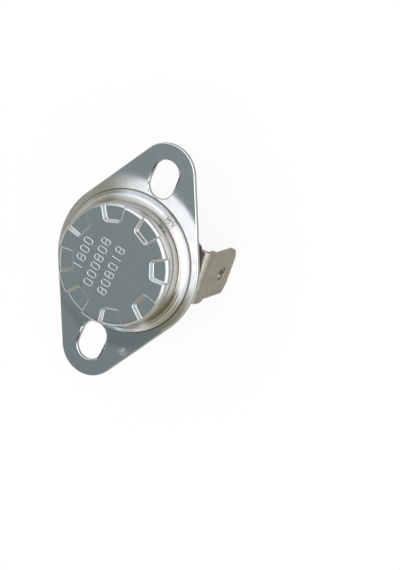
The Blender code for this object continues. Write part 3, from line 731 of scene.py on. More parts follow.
@dataclass(frozen=True)
class PlateFinish(Finish):
    """The bracket's finish, with painted shade along the seam under the cap's ring."""

    # Painted shade: a dark band on the plate where the gap under the cap's ring lies in shadow
    seam_mm: float = 9.25
    seam_half_mm: float = 0.11
    seam_core: float = 0.4
    painted_seam_shade: str = "#7B7870"

    def stamped(self, tree: bpy.types.NodeTree, place: bpy.types.NodeSocket, color: bpy.types.NodeSocket,
                height: bpy.types.NodeSocket) -> Sockets:
        """Lay painted shade over the colour along the seam, as a smooth step of the distance from the
        seam.

        Args:
            tree: the material's node tree.
            place: Object coordinates.
            color: the colour so far.
            height: the relief so far, in metres.

        Returns:
            The new colour, and the height as it was.
        """
        flat = add_node(tree, "ShaderNodeVectorMath", {"operation": "MULTIPLY"},
                        {0: place, 1: (1.0, 1.0, 0.0)}).outputs["Vector"]
        radius = add_node(tree, "ShaderNodeVectorMath", {"operation": "LENGTH"},
                          {0: flat}).outputs["Value"]
        off = add_node(tree, "ShaderNodeMath", {"operation": "SUBTRACT"},
                       {0: radius, 1: self.seam_mm * MM}).outputs[0]
        apart = add_node(tree, "ShaderNodeMath", {"operation": "ABSOLUTE"}, {0: off}).outputs[0]
        seam = add_node(tree, "ShaderNodeMapRange", {"interpolation_type": "SMOOTHSTEP"}, {
            "Value": apart, "From Min": self.seam_half_mm * MM,
            "From Max": self.seam_core * self.seam_half_mm * MM,
        }).outputs["Result"]
        # Painted shade darkens the plate along the seam
        color = add_node(tree, "ShaderNodeMix", {"data_type": "RGBA"},
                         {"Factor": seam, 6: color, 7: linear(self.painted_seam_shade)}).outputs[2]
        return color, height


# Drawn aluminium: cold-drawn, bright and slightly hazed, so it mirrors the room softly. The ring
# has one dark scuffed spot.
DRAWN_ALUMINIUM = CapFinish(
    "drawn_aluminium", "#E3E5E6", "#DADCDE", 0.08, 0.13, 1.0, 1.8, 0.35, 0.0010,
    blemishes=(Blemish((8.1, -3.5, -3.2), 1.6, "#33302B", 1.0),),
)
# Zinc-plated steel: stamped from rolled strip and plated, a cool mirror, faintly uneven, with two
# pale rubbed spots.
ZINC_PLATED_STEEL = PlateFinish(
    "zinc_plated_steel", "#DFE2E3", "#D2D5D7", 0.10, 0.16, 1.0, 2.2, 0.45, 0.0018,
    blemishes=(Blemish((-11.0, -4.5, -4.25), 0.9, "#F2F2F2", 0.5),
               Blemish((8.9, 7.4, -4.25), 0.8, "#F2F2F2", 0.6)),
)
# Nickel-plated brass: the tabs' warm satin, rolled and then plated.
NICKEL_PLATED_BRASS = Finish(
    "nickel_plated_brass", "#CCC7BC", "#BEB8AA", 0.24, 0.34, 1.0, 1.2, 0.30, 0.0015,
)
# The same plating left brighter where the rivet's rolling burnished it.
NICKEL_RIVET = Finish("nickel_rivet", "#D8D2C6", "#C6BFB1", 0.16, 0.26, 1.0, 0.8, 0.25, 0.0012)
# Black phenolic: compression-moulded in a polished die, deep black under a clear gloss.
BLACK_PHENOLIC = Finish(
    "black_phenolic", "#0E0E0F", "#17171A", 0.14, 0.24, 0.0, 1.0, 0.30, 0.0015, coat=0.25,
)
# Brown phenolic of the guide plate, matt from its filler.
BROWN_PHENOLIC = Finish(
    "brown_phenolic", "#4A2B1D", "#5A3726", 0.42, 0.55, 0.0, 0.8, 0.20, 0.0030,
)
# Rolled bimetal strip, brushed by the rolls.
BIMETAL = Finish("rolled_bimetal", "#B4AFA8", "#A29C93", 0.26, 0.38, 1.0, 1.0, 0.15, 0.0015)
# Unglazed steatite ceramic, chalky white.
STEATITE = Finish("steatite_ceramic", "#E7E3D8", "#DAD4C6", 0.45, 0.60, 0.0, 0.6, 0.12, 0.0030)
# Beryllium copper spring leaf, warm and lightly tarnished.
BERYLLIUM_COPPER = Finish(
    "beryllium_copper", "#D9A277", "#B97F55", 0.22, 0.36, 1.0, 1.4, 0.25, 0.0012,
)
# Silver of the contact buttons, bright with a slight bloom.
CONTACT_SILVER = Finish("contact_silver", "#ECEAE4", "#D4D0C6", 0.14, 0.30, 1.0, 0.5, 0.15, 0.0010)
# Bare brass strip, yellow and slightly dulled by handling.
STRIP_BRASS = Finish("strip_brass", "#DDBB78", "#C39F5C", 0.20, 0.34, 1.0, 1.1, 0.25, 0.0012)


@dataclass
class SensingCap:
    """The drawn cap: a face with eight pressed recesses, a crimped wall and a rounded step ring.

    The ring's slope is a row of corners: how far each lies inside the ring's edge and below its
    top, and its radius.
    """

    radius: float = 7.95
    sheet: float = 0.4
    edge_round: float = 0.4
    ring_radius: float = 9.2
    ring_top: float = -3.15
    ring_bottom: float = -4.01
    ring_slope: tuple[Corner, ...] = (
        (0.85, 0.09, 0.06), (0.78, 0.13, 0.06), (0.45, 0.19, 0.25), (0.10, 0.50, 0.30),
    )
    ring_skirt: float = 0.26
    crimp_top: float = -2.70
    crimp_lead: float = 0.25
    crimp_fall: float = 0.18
    crimp_depth: float = 0.2
    lining_inset: float = 0.2
    recess_growth_inside: float = 0.35
    recess_count: int = 8
    recess_depth: float = 0.5
    recess_reach: float = 2.3
    recess_rim_width: float = 3.3
    recess_inner_width: float = 2.25
    recess_corner: float = 0.45
    recess_wall: float = 0.32
    recess_turn: float = math.radians(24.0)
    middle_radius: float = 4.2
    border_radius: float = 5.6

    def contour(self, offset: float, reach: float) -> tuple[np.ndarray, np.ndarray]:
        """Return one recess's outline, moved out by an offset, on the side where y is positive.

        The outline is two straights joined by an arc about one middle, so every offset's arc
        shares it. The arc's halfway point parts the side from the inner end.

        Args:
            offset: how far outside the nominal outline it runs.
            reach: radius of the rim circle where it starts.

        Returns:
            Points of the side from the rim to halfway round the corner, and from there to y = 0.
        """
        inner = self.radius - self.recess_reach
        lean = math.atan2(self.recess_rim_width - self.recess_inner_width, 2.0 * self.recess_reach)
        along = np.array([math.cos(lean), math.sin(lean)])
        out = np.array([-math.sin(lean), math.cos(lean)])
        soft = self.recess_corner
        side_shift = soft * (math.sin(lean) - 1.0) / math.cos(lean)
        middle = np.array([inner + soft, self.recess_inner_width / 2.0 + side_shift])
        radius = soft + offset
        start = middle + out * radius
        run = -(start @ along) + math.sqrt((start @ along) ** 2 - start @ start + reach ** 2)
        turns = np.linspace(math.pi / 2.0 + lean, math.pi, 9)
        bow = middle + radius * polar(1.0, turns)
        side = ruled((start + run * along)[None], start[None], np.linspace(0.0, 1.0, 9))[:, 0]
        end = ruled(bow[-1:], np.array([[bow[-1, 0], 0.0]]), np.linspace(0.0, 1.0, 5))[:, 0]
        return np.concatenate([side[:-1], bow[:5]]), np.concatenate([bow[4:-1], end])

    def face(self, grow: float, reach: float, level: float) -> tuple[Surface, np.ndarray, np.ndarray]:
        """Return the pressed face out to a rim circle, with the angle and level of each rim point.

        Each eighth is a block net whose lines follow the recess's outline. Across the outline
        the level falls by the recess's depth with the smooth step.

        Args:
            grow: how far outside the outer outline this side of the sheet runs.
            reach: radius of the rim circle.
            level: level of the unpressed face.

        Returns:
            The net, the rim points' angles in rising order and their levels.
        """
        half = self.recess_wall / 2.0
        guard = 0.02
        offsets = np.concatenate([[-half - guard], np.linspace(-half, half, 11), [half + guard]])
        drop = level - self.recess_depth * smooth_step((half - offsets) / self.recess_wall)
        pairs = [self.contour(grow + offset, reach) for offset in offsets]
        sides = np.stack([pair[0] for pair in pairs])
        ends = np.stack([pair[1] for pair in pairs])
        border = math.pi / self.recess_count
        low = math.atan2(sides[0, 0, 1], sides[0, 0, 0])
        high = math.atan2(sides[-1, 0, 1], sides[-1, 0, 0])
        rows, wide, outer = sides.shape[1], ends.shape[1], 7
        floor_rim = polar(reach, np.linspace(low, 0.0, wide))
        centre_line = ruled(floor_rim[-1:], ends[0, -1:], np.linspace(0.0, 1.0, rows))[:, 0]
        floor = patch(sides[0], centre_line, floor_rim, ends[0])
        rim = polar(reach, np.linspace(border, high, outer))
        edge = polar(np.linspace(reach, self.border_radius, rows), np.full(rows, border))
        foot = ruled(edge[-1:], sides[-1, -1:], np.linspace(0.0, 1.0, outer))[:, 0]
        land = patch(edge, sides[-1], rim, foot)
        turn = math.atan2(sides[-1, -1, 1], sides[-1, -1, 0])
        stations = np.linspace(0.0, 1.0, 6)
        past_end, past_land = np.linspace(turn, 0.0, wide), np.linspace(border, turn, outer)
        under_end = ruled(ends[-1], polar(self.middle_radius, past_end), stations)
        under_land = ruled(foot, polar(self.middle_radius, past_land), stations)
        spokes = np.concatenate([past_land[:-1], past_end])
        hub = polar(np.linspace(self.middle_radius, 0.0, 7)[:, None], spokes[None])

        grids = [lifted(sides, drop[:, None]), lifted(ends, drop[:, None]),
                 lifted(floor, level - self.recess_depth)]
        grids += [lifted(flat, level) for flat in (land, under_end, under_land, hub)]
        eighth = joined([net(grid) for grid in grids]).mirrored(1)
        turns = self.recess_turn + math.tau * np.arange(self.recess_count) / self.recess_count
        whole = joined([eighth.turned(angle) for angle in turns])

        strip = np.arctan2(sides[:, 0, 1], sides[:, 0, 0])
        angles = np.concatenate([np.linspace(0.0, low, wide)[:-1], strip,
                                 np.linspace(high, border, outer)[1:]])
        levels = np.concatenate([np.full(wide - 1, level - self.recess_depth), drop,
                                 np.full(outer - 1, level)])
        angles = np.concatenate([-angles[:0:-1], angles])[:-1]
        levels = np.concatenate([levels[:0:-1], levels])[:-1]
        return whole, (turns[:, None] + angles[None]).reshape(-1), np.tile(levels, self.recess_count)

    def wall(self, angles: np.ndarray, levels: np.ndarray, reach: float, radius: float,
             lower: np.ndarray) -> np.ndarray:
        """Return the wall's rows, from the rim circle over the edge's arc and down a profile.

        Args:
            angles: angle of each column.
            levels: level at which each column leaves the face.
            reach: radius of the rim circle.
            radius: radius of the wall.
            lower: (radius, z) rows below the plain wall.

        Returns:
            Grid of rows by columns by three coordinates.
        """
        bend = radius - reach
        arc = np.linspace(0.0, math.pi / 2.0, 8)
        radii = reach + bend * np.sin(arc)
        drops = levels[None] - bend + bend * np.cos(arc)[:, None]
        share = np.linspace(0.0, 1.0, 9)[1:-1, None]
        plain = (1.0 - share) * drops[-1:] + share * lower[0, 1]
        radii = np.concatenate([radii, np.full(len(plain), radius), lower[:, 0]])
        heights = np.concatenate([drops, plain, np.repeat(lower[:, 1:], len(angles), axis=1)])
        return lifted(polar(radii[:, None], angles[None]), heights)

    def build(self) -> Surface:
        """Build the whole cap, the outer and the inner side of its sheet.

        Returns:
            The closed net.
        """
        neck = self.radius - self.crimp_depth
        begin, fallen = self.crimp_top + self.crimp_lead, self.crimp_top - self.crimp_fall
        edge, bottom = self.ring_radius, self.ring_bottom
        slope = [(edge - inside, self.ring_top - down, soft) for inside, down, soft in self.ring_slope]
        outer = filleted([
            (self.radius, begin, 0.0), (self.radius, self.crimp_top, 0.12), (neck, fallen, 0.10),
            (neck, self.ring_top + 0.02, 0.10), *slope, (edge, bottom + self.ring_skirt, 0.25),
            (edge, bottom, 0.03), (edge - self.sheet / 2.0, bottom, 0.0),
        ], guard=0.01)
        bore, neck_bore = self.radius - self.sheet, neck - self.sheet
        under, skirt = self.ring_top - self.sheet, edge - self.sheet
        inner = filleted([
            (bore, begin, 0.0), (bore, self.crimp_top, 0.08), (neck_bore, fallen, 0.06),
            (neck_bore, under + 0.12, 0.05), (skirt - 0.3, under, 0.10), (skirt, under - 0.25, 0.10),
            (skirt, bottom, 0.03), (edge - self.sheet / 2.0, bottom, 0.0),
        ], guard=0.01)
        reach_out, reach_in = self.radius - self.edge_round, bore - self.lining_inset
        top, angles, levels = self.face(0.0, reach_out, 0.0)
        back, inside_angles, inside_levels = self.face(self.recess_growth_inside, reach_in, -self.sheet)
        skin = self.wall(angles, levels, reach_out, self.radius, outer)
        lining = self.wall(inside_angles, inside_levels, reach_in, bore, inner[:-1])
        wall = net(np.concatenate([skin, lining[::-1]]), wrap=True)
        return joined([top, back, wall])


@dataclass
class Bracket:
    """The stamped bracket: a round waist, two round ears with slots, a hole and its drawn collar.

    The sheet is dished: it stands higher round the hole than at the ears.
    """

    top: float = -4.25
    sheet: float = 0.5
    waist_radius: float = 10.2
    ear_radius: float = 4.1
    ear_offset: float = 12.64
    slot_width: float = 3.6
    slot_length: float = 5.2
    slot_offset: float = 12.0
    hole_radius: float = 7.55
    collar_height: float = 0.5
    collar_round: float = 0.12
    collar_sink: float = 0.012
    dish_height: float = 0.3
    dish_start: float = 7.6
    dish_end: float = 11.6

    def outline(self, angle: np.ndarray) -> np.ndarray:
        """Work out how far the outline lies from the axis, in the first quarter.

        The outline is the waist's circle, a line tangent to both circles, and the ear's circle.

        Args:
            angle: directions in radians.

        Returns:
            The distance in each direction.
        """
        lean = math.acos((self.waist_radius - self.ear_radius) / self.ear_offset)
        tangent = self.waist_radius / np.cos(angle - lean)
        touch = self.ear_offset + self.ear_radius * math.cos(lean), self.ear_radius * math.sin(lean)
        ear = self.ear_offset * np.cos(angle) + np.sqrt(
            np.maximum(self.ear_radius ** 2 - (self.ear_offset * np.sin(angle)) ** 2, 0.0))
        far = np.where(angle < math.atan2(touch[1], touch[0]), ear, tangent)
        return np.where(angle > lean, self.waist_radius, far)

    def plan(self) -> Surface:
        """Lay out the plan of the first quarter and mirror it to all four.

        Straight lines join each point of the hole to the slot's near end or to the outline, in
        the same direction. Beyond the slot they join its far side to the outline round the ear.

        Returns:
            The welded net in the plane.
        """
        slot = self.slot_width / 2.0
        near = self.slot_offset - self.slot_length / 2.0 + slot
        far = self.slot_offset + self.slot_length / 2.0 - slot
        graze = math.asin(slot / near)
        reach = near * math.cos(graze)
        front = np.array([near, 0.0]) - polar(slot, np.linspace(0.0, graze - math.pi / 2.0, 14))
        first, face = np.arctan2(front[:, 1], front[:, 0]), np.linalg.norm(front, axis=1)
        stations = np.concatenate([[0.0, 0.12, 0.28], np.linspace(0.28, 0.9, 9)[1:], [1.0]])
        inside_collar = self.hole_radius + self.sheet / 2.0
        low = ruled(polar(inside_collar, first), polar(face, first), stations)

        bend = math.radians(35.0)
        second = np.concatenate([np.linspace(graze, bend, 24),
                                 np.linspace(bend, math.pi / 2.0, 34)[1:]])
        edge = self.outline(second)
        fade = smooth_step((second - graze) / math.radians(22.0))
        between = self.hole_radius + 0.6 * (edge - self.hole_radius)
        split = (1.0 - fade) * reach + fade * between
        inner = ruled(polar(inside_collar, second), polar(split, second), stations)
        outer_stations = np.concatenate([np.linspace(0.0, 0.86, 8), [1.0]])
        outer = ruled(polar(split, second), polar(edge, second), outer_stations)

        swing = np.linspace(math.pi / 2.0 + graze, math.pi / 2.0, 4)
        line = np.stack([np.linspace(near, far, 7), np.full(7, slot)], axis=-1)
        round_end = np.array([far, 0.0]) + polar(slot, np.linspace(math.pi / 2.0, 0.0, 15))
        begin = np.array([near, 0.0]) + polar(slot, swing)
        inside = np.concatenate([begin[:-1], line, round_end[1:]])
        first_out = polar(self.outline(np.array([graze])), np.array([graze]))[0]
        turn = math.atan2(first_out[1], first_out[0] - self.ear_offset)
        around = np.array([self.ear_offset, 0.0]) + polar(
            self.ear_radius, np.linspace(turn, 0.0, len(inside)))
        beyond = ruled(inside, around, outer_stations)
        parts = [net(block) for block in (low, inner, outer, beyond)]
        return joined(parts).mirrored(1).mirrored(0).welded()

    def place(self, flat: np.ndarray, height: np.ndarray) -> np.ndarray:
        """Place plan points over the middle of the dished sheet.

        The sheet stands highest round the hole and falls to the flat ears with the smooth step
        of its distance from the axis.

        Args:
            flat: rows of (x, y).
            height: how far each point lies over the middle of the sheet.

        Returns:
            Rows of (x, y, z).
        """
        reach = np.linalg.norm(flat, axis=1)
        fall = smooth_step((reach - self.dish_start) / (self.dish_end - self.dish_start))
        middle = self.top - self.sheet / 2.0 + self.dish_height * (1.0 - fall)
        return np.column_stack([flat, middle + height])

    def collar(self) -> Surface:
        """Turn the collar that the hole's edge is drawn up into.

        Returns:
            The closed ring, its foot just over the sheet's back.
        """
        inner, outer = self.hole_radius, self.hole_radius + self.sheet
        low = self.top + self.dish_height - self.sheet + self.collar_sink
        high = self.top + self.collar_height
        middle = (inner + outer) / 2.0
        profile = filleted([
            (middle, low, 0.0), (outer, low, 0.0), (outer, high, self.collar_round),
            (inner, high, self.collar_round), (inner, low, 0.0), (middle, low, 0.0),
        ])
        return lathe(profile, 160)

    def build(self) -> Surface:
        """Return the plate and its collar as one net."""
        plate = sheet_solid(self.plan(), self.sheet, Edge.BRACKET, self.place)
        return joined([plate, self.collar()])


@dataclass
class Terminal:
    """A tab terminal folded from strip: a foot under the rivet, a bend and a bevelled blade.

    The reaches say how far the net round each hole extends along the fold.
    """

    sheet: float = 0.8
    foot_top: float = -11.951
    face_radius: float = 7.25
    foot_inner: float = 1.1
    foot_half: float = 2.8
    foot_corner: float = 0.6
    flare_start: float = 5.2
    flare_slope: float = 0.7 / 2.525
    bend_radius: float = 0.4
    offset: float = 0.7
    shoulder_half: float = 3.625
    shoulder_drop: float = 2.1
    blade_half: float = 3.175
    corner_cut: float = 1.2
    length: float = 8.7
    bevel_length: float = 1.0
    tip_thickness: float = 0.4
    rivet_offset: float = 3.6
    rivet_hole: float = 1.2
    tab_hole: float = 0.9
    tab_hole_from_tip: float = 3.1
    shoulder_ramp: float = 0.72
    hole_reach: float = 1.75
    rivet_reach_ahead: float = 1.55
    tip_reach: float = 0.15

    def __post_init__(self) -> None:
        """Work out the fold: straight foot, quarter bend about the middle of the sheet, blade."""
        self.bend = self.bend_radius + self.sheet / 2.0
        self.foot_run = self.face_radius - self.sheet / 2.0 - self.bend - self.foot_inner
        self.bend_run = self.bend * math.pi / 2.0
        self.blade_start = self.foot_run + self.bend_run
        self.shoulder_end = self.blade_start + self.shoulder_drop - self.sheet / 2.0 - self.bend
        self.run = self.blade_start + self.length - self.sheet / 2.0 - self.bend

    def place(self, flat: np.ndarray, height: np.ndarray) -> np.ndarray:
        """Fold plan points.

        The run along the fold goes straight along the foot, turns by run / bend through a
        quarter circle about the middle of the sheet, and goes straight down the blade. Over the
        last bevel the sheet thins evenly to the tip.

        Args:
            flat: rows of (x, run along the fold).
            height: how far each point lies over the middle of the sheet.

        Returns:
            Rows of (x, y, z).
        """
        run = flat[:, 1]
        turn = np.clip((run - self.foot_run) / self.bend, 0.0, math.pi / 2.0)
        past = np.maximum(run - self.blade_start, 0.0)
        back = np.minimum(run, self.foot_run)
        taper = (self.sheet - self.tip_thickness) / self.sheet
        thin = 1.0 - taper * np.clip((run - self.run + self.bevel_length) / self.bevel_length, 0.0, 1.0)
        out = self.foot_inner + back + (self.bend + height * thin) * np.sin(turn)
        middle = self.foot_top - self.sheet / 2.0 - self.bend
        level = middle + (self.bend + height * thin) * np.cos(turn) - past
        return np.column_stack([flat[:, 0], -out, level])

    def edges(self, run: np.ndarray) -> tuple[np.ndarray, np.ndarray]:
        """Work out the strip's edges: a foot with round corners, a flare, a shoulder and a cut tip.

        Args:
            run: places along the fold.

        Returns:
            x of the left and of the right edge at each place.
        """
        step = self.shoulder_half - self.blade_half
        flare = self.flare_start - self.foot_inner
        corner = self.foot_corner
        tuck = corner - np.sqrt(np.maximum(corner ** 2 - np.maximum(corner - run, 0.0) ** 2, 0.0))
        half_foot = self.foot_half - tuck
        narrow = step * smooth_step((run - self.shoulder_end) / self.shoulder_ramp)
        cut = np.clip(run - (self.run - self.corner_cut), 0.0, None)
        half_blade = self.shoulder_half - narrow - cut
        widen = np.clip(run - flare, 0.0, None) / self.flare_slope
        left = np.maximum(-half_foot - widen, -self.offset - half_blade)
        right = np.minimum(half_foot + widen, -self.offset + half_blade)
        return left, right

    def strip(self, runs: np.ndarray, shares: np.ndarray) -> np.ndarray:
        """Lay lines across the strip.

        Args:
            runs: places along the fold.
            shares: places across the strip, from 0 at its left edge to 1.

        Returns:
            Grid of runs by shares by (x, run along the fold).
        """
        left, right = self.edges(runs)
        across = left[:, None] + (right - left)[:, None] * shares[None]
        return np.stack([across, np.broadcast_to(runs[:, None], across.shape)], axis=-1)

    def round_hole(self, low: float, high: float, shares: np.ndarray, x: float, run: float,
                   radius: float) -> np.ndarray:
        """Fill the strip between two runs, round a hole.

        Each line runs straight from the hole's circle to a point of the part's border, in that
        point's own direction from the hole's middle.

        Args:
            low: run where the part starts.
            high: run where the part ends.
            shares: places across the strip, from 0 to 1.
            x: the hole's middle across the strip.
            run: the hole's middle along the fold.
            radius: the hole's radius.

        Returns:
            Grid of the steps outwards by the points round the border.
        """
        sides = np.linspace(low, high, 13)
        left, right = self.edges(sides)
        bottom = self.strip(np.array([low]), shares)[0]
        top = self.strip(np.array([high]), shares)[0]
        border = np.concatenate([
            bottom[:-1], np.stack([right, sides], axis=-1)[:-1],
            top[:0:-1], np.stack([left, sides], axis=-1)[:0:-1],
        ])
        middle = np.array([x, run])
        direction = np.arctan2(border[:, 1] - run, border[:, 0] - x)
        circle = middle + polar(radius, direction)
        return ruled(circle, border, np.array([0.0, 0.22, 0.45, 0.7, 0.86, 1.0]))

    def plan(self) -> Surface:
        """Lay out the flat blank, with its rivet hole and its latch hole.

        Returns:
            The welded net of (x, run along the fold).
        """
        shares = np.concatenate([[0.0, 0.05], np.linspace(0.12, 0.88, 13), [0.95, 1.0]])
        rivet = self.rivet_offset - self.foot_inner
        hole = self.run - self.tab_hole_from_tip
        cut = self.run - self.corner_cut
        foot_low, foot_high = rivet - self.hole_reach, rivet + self.rivet_reach_ahead
        blade_low, blade_high = hole - self.hole_reach, cut - self.tip_reach
        corner = self.foot_corner * (1.0 - np.cos(np.linspace(0.0, math.pi / 2.0, 7)))
        runs_low = np.unique(np.concatenate([corner, [foot_low]]).round(6))
        ramp_end = self.shoulder_end + self.shoulder_ramp
        runs_mid = np.unique(np.concatenate([
            np.linspace(foot_high, self.foot_run, 6), np.linspace(self.foot_run, self.blade_start, 13),
            np.linspace(self.blade_start, self.shoulder_end, 5),
            np.linspace(self.shoulder_end, ramp_end, 9), np.linspace(ramp_end, blade_low, 4)[1:],
        ]).round(6))
        taper = self.run - self.bevel_length
        runs_tip = np.unique(np.array([blade_high, cut, taper - 0.04, taper, taper + 0.04,
                                       (taper + self.run) / 2.0, self.run - 0.25, self.run]).round(6))
        round_rivet = self.round_hole(runs_low[-1], runs_mid[0], shares, 0.0, rivet, self.rivet_hole)
        round_latch = self.round_hole(runs_mid[-1], runs_tip[0], shares, -self.offset, hole,
                                      self.tab_hole)
        strips = [net(self.strip(runs, shares)) for runs in (runs_low, runs_mid, runs_tip)]
        return joined([*strips, net(round_rivet, wrap=True), net(round_latch, wrap=True)]).welded()

    def build(self, turn: float) -> Surface:
        """Return the folded terminal, turned to its side of the base."""
        return sheet_solid(self.plan(), self.sheet, Edge.TAB, self.place).turned(turn)


@dataclass
class Rivet:
    """A hollow rivet: a rolled head under a foot, a shank and a head inside the base.

    Each head's edge is rounded by a share of its height, and the bore's mouths are rounded.
    """

    offset: float
    head_top: float
    head_low: float = -13.151
    head: float = 0.3
    radius: float = 1.1
    bore: float = 0.7
    head_radius: float = 1.65
    head_round: float = 0.45
    mouth_round: float = 0.28

    def build(self, turn: float) -> Surface:
        """Turn the rivet's closed profile, which rolls round at both heads.

        Args:
            turn: how far the base is turned, in radians.

        Returns:
            The closed net.
        """
        soft = self.head * self.head_round
        low, high, wide = self.head_low, self.head_top, self.head_radius
        middle = (low + high) / 2.0
        profile = filleted([
            (self.bore, middle, 0.0), (self.bore, low, self.mouth_round), (wide, low, soft),
            (wide, low + self.head, soft), (self.radius, low + self.head, 0.0),
            (self.radius, high - self.head, 0.0), (wide, high - self.head, soft),
            (wide, high, soft), (self.bore, high, self.mouth_round), (self.bore, middle, 0.0),
        ])
        return lathe(profile, 72, (0.0, self.offset)).turned(turn)


@dataclass
class Base:
    """The moulded base: neck, shoulder, round body, and a bar between two stepped segments.

    The groove round the neck is given by its levels, from its lower edge to its upper one.
    """

    neck_top: float = -2.341
    bar_level: float = -11.851
    body_radius: float = 7.15
    rim_round: float = 0.9
    neck_radius: float = 7.45
    groove_depth: float = 0.3
    groove_levels: tuple[float, float, float, float] = (-3.651, -3.151, -2.781, -2.601)
    neck_round: float = 0.05
    shoulder_radius: float = 8.1
    shoulder_top: float = -4.56
    shoulder_height: float = 1.291
    bar_half: float = 3.8
    bar_height: float = 1.0
    bar_round: float = 0.16
    bar_foot_round: float = 0.1
    bar_foot_gap: float = 0.04
    edge_round: float = 0.15
    cavity_radius: float = 6.2
    floor: float = -9.701
    mark_radius: float = 0.7
    mark_depth: float = 0.15
    mark_wall: float = 0.16

    def columns(self) -> tuple[np.ndarray, np.ndarray, np.ndarray]:
        """Lay out the columns from the middle of the bar to the pole of a segment.

        A column at |x| up to the bar's foot keeps its x. Past it, x is the foot plus the share
        of what is left to the outer circle. The depth share is 0 on the bar and 1 on a segment.

        Returns:
            Each column's place across the bar, its share to the pole and its depth share.
        """
        soft, foot = self.bar_round, self.bar_foot_round
        turn = np.linspace(0.0, math.pi / 2.0, 6)
        wall_x = self.bar_half - soft + soft * np.sin(turn)
        wall_share = (soft - soft * np.cos(turn)) / self.bar_height
        foot_x = self.bar_half + self.bar_foot_gap + foot * (1.0 - np.cos(turn))
        foot_share = 1.0 - foot * (1.0 - np.sin(turn)) / self.bar_height
        bar = np.linspace(0.0, self.bar_half - soft - 0.02, 18)
        spread = np.linspace(0.0, 1.0, 30)[1:]
        x = np.concatenate([bar, wall_x, foot_x, np.full(len(spread), foot_x[-1])])
        pole = np.concatenate([np.zeros(len(x) - len(spread)), spread])
        depth = np.concatenate([np.zeros(len(bar)), wall_share, foot_share, np.ones(len(spread))])
        return x, pole, depth

    def rows(self) -> tuple[np.ndarray, np.ndarray, np.ndarray, np.ndarray]:
        """Lay out the rows past the flat, over the rim and up to the body's wall.

        Returns:
            Radius and level of each row on the bar, and radius and level of each on a segment.
        """
        turn = np.linspace(0.0, math.pi / 2.0, 9)
        bar_r = self.body_radius - self.rim_round * (1.0 - np.sin(turn))
        bar_z = self.bar_level + self.rim_round * (1.0 - np.cos(turn))
        seat = self.bar_level + self.bar_height
        seg_r = np.linspace(bar_r[0], self.body_radius - self.edge_round, 9)
        seg_z = np.full(9, seat)
        lip = np.linspace(0.0, math.pi / 2.0, 6)[1:]
        bar_r = np.concatenate([bar_r, np.full(5, self.body_radius)])
        bar_z = np.concatenate([bar_z, np.linspace(bar_z[-1], seat + self.edge_round, 6)[1:]])
        seg_r = np.concatenate([seg_r, self.body_radius - self.edge_round * (1.0 - np.sin(lip))])
        seg_z = np.concatenate([seg_z, seat + self.edge_round * (1.0 - np.cos(lip))])
        return bar_r, bar_z, seg_r, seg_z

    def upper(self) -> np.ndarray:
        """Draw the profile from the body's wall up over the shoulder and neck into the cavity.

        Returns:
            Rows of (radius, z).
        """
        step = self.shoulder_top - self.shoulder_height
        groove = self.neck_radius - self.groove_depth
        lower, deep_low, deep_high, upper = self.groove_levels
        start = self.bar_level + self.bar_height + self.edge_round
        neck, soft = self.neck_radius, self.neck_round
        return filleted([
            (self.body_radius, start, 0.0), (self.body_radius, step, 0.15),
            (self.shoulder_radius, step, 0.2), (self.shoulder_radius, self.shoulder_top, 0.08),
            (neck, self.shoulder_top, soft), (neck, lower, soft), (groove, deep_low, soft),
            (groove, deep_high, soft), (neck, upper, soft), (neck, self.neck_top, soft),
            (self.cavity_radius, self.neck_top, soft), (self.cavity_radius, self.floor, 0.0),
        ], steps=4)

    def build(self) -> Surface:
        """Build the base. The quarter at x, y >= 0 is one grid, mirrored to all four.

        On the flat, y is a share of the half chord. Past it, y is the root of r^2 - x^2. Up the
        wall and into the cavity each column keeps its direction from the axis.

        Returns:
            The closed net.
        """
        x, pole, depth = self.columns()
        bar_r, bar_z, seg_r, seg_z = self.rows()
        radius = (1.0 - depth[None]) * bar_r[:, None] + depth[None] * seg_r[:, None]
        level = (1.0 - depth[None]) * bar_z[:, None] + depth[None] * seg_z[:, None]
        across = x[None] + (radius - x[None]) * pole[None]
        chord = np.sqrt(np.maximum(radius ** 2 - across ** 2, 0.0))
        past = np.stack([across, chord, level], axis=-1)

        share = np.linspace(0.0, 1.0, 31)[:-1, None]
        flat = np.stack(np.broadcast_arrays(across[:1], share * chord[:1], level[:1]), axis=-1).copy()
        seat = (self.body_radius + self.bar_half) / 2.0
        reach = np.hypot(flat[..., 0] - seat, flat[..., 1])
        flat[..., 2] += self.mark_depth * smooth_step((self.mark_radius - reach) / self.mark_wall + 0.5)

        rising = self.upper()
        direction = np.arctan2(past[-1, :, 1], past[-1, :, 0])
        direction[0] = math.pi / 2.0
        wall = lifted(polar(rising[1:, :1], direction[None]), rising[1:, 1:])
        inwards = np.linspace(0.92, 0.0, 12)
        closing = wall[-1:] * np.stack([np.ones(12), inwards, np.ones(12)], axis=-1)[:, None]
        grid = np.concatenate([flat, past, wall, closing])
        return net(grid).mirrored(1).mirrored(0).turned(MODULE_TURN)


def dress_switch(nodes: dict[str, bpy.types.Object]) -> None:
    """Give the pieces of the switch inside their finishes, on the solids of the frame.

    Args:
        nodes: the frame's objects by their names.
    """
    finishes = {
        "bimetal_disc": BIMETAL, "guide_plate": BROWN_PHENOLIC, "transfer_pin": STEATITE,
        "contact_arm": BERYLLIUM_COPPER, "moving_contact": CONTACT_SILVER,
        "fixed_contact": CONTACT_SILVER, "fixed_contact_strip": STRIP_BRASS,
    }
    made = {}
    for name, finish in finishes.items():
        if finish.name not in made:
            made[finish.name] = finish.build()
        slots = nodes[name].data.materials
        slots.clear()
        slots.append(made[finish.name])
        LOG.info("%s: dressed in %s", name, finish.name)


@dataclass(frozen=True)
class Area:
    """An area of the room: the way to its middle, its colour, and the angles where it fades."""

    middle: tuple[float, float, float]
    color: str
    full_deg: float
    faded_deg: float


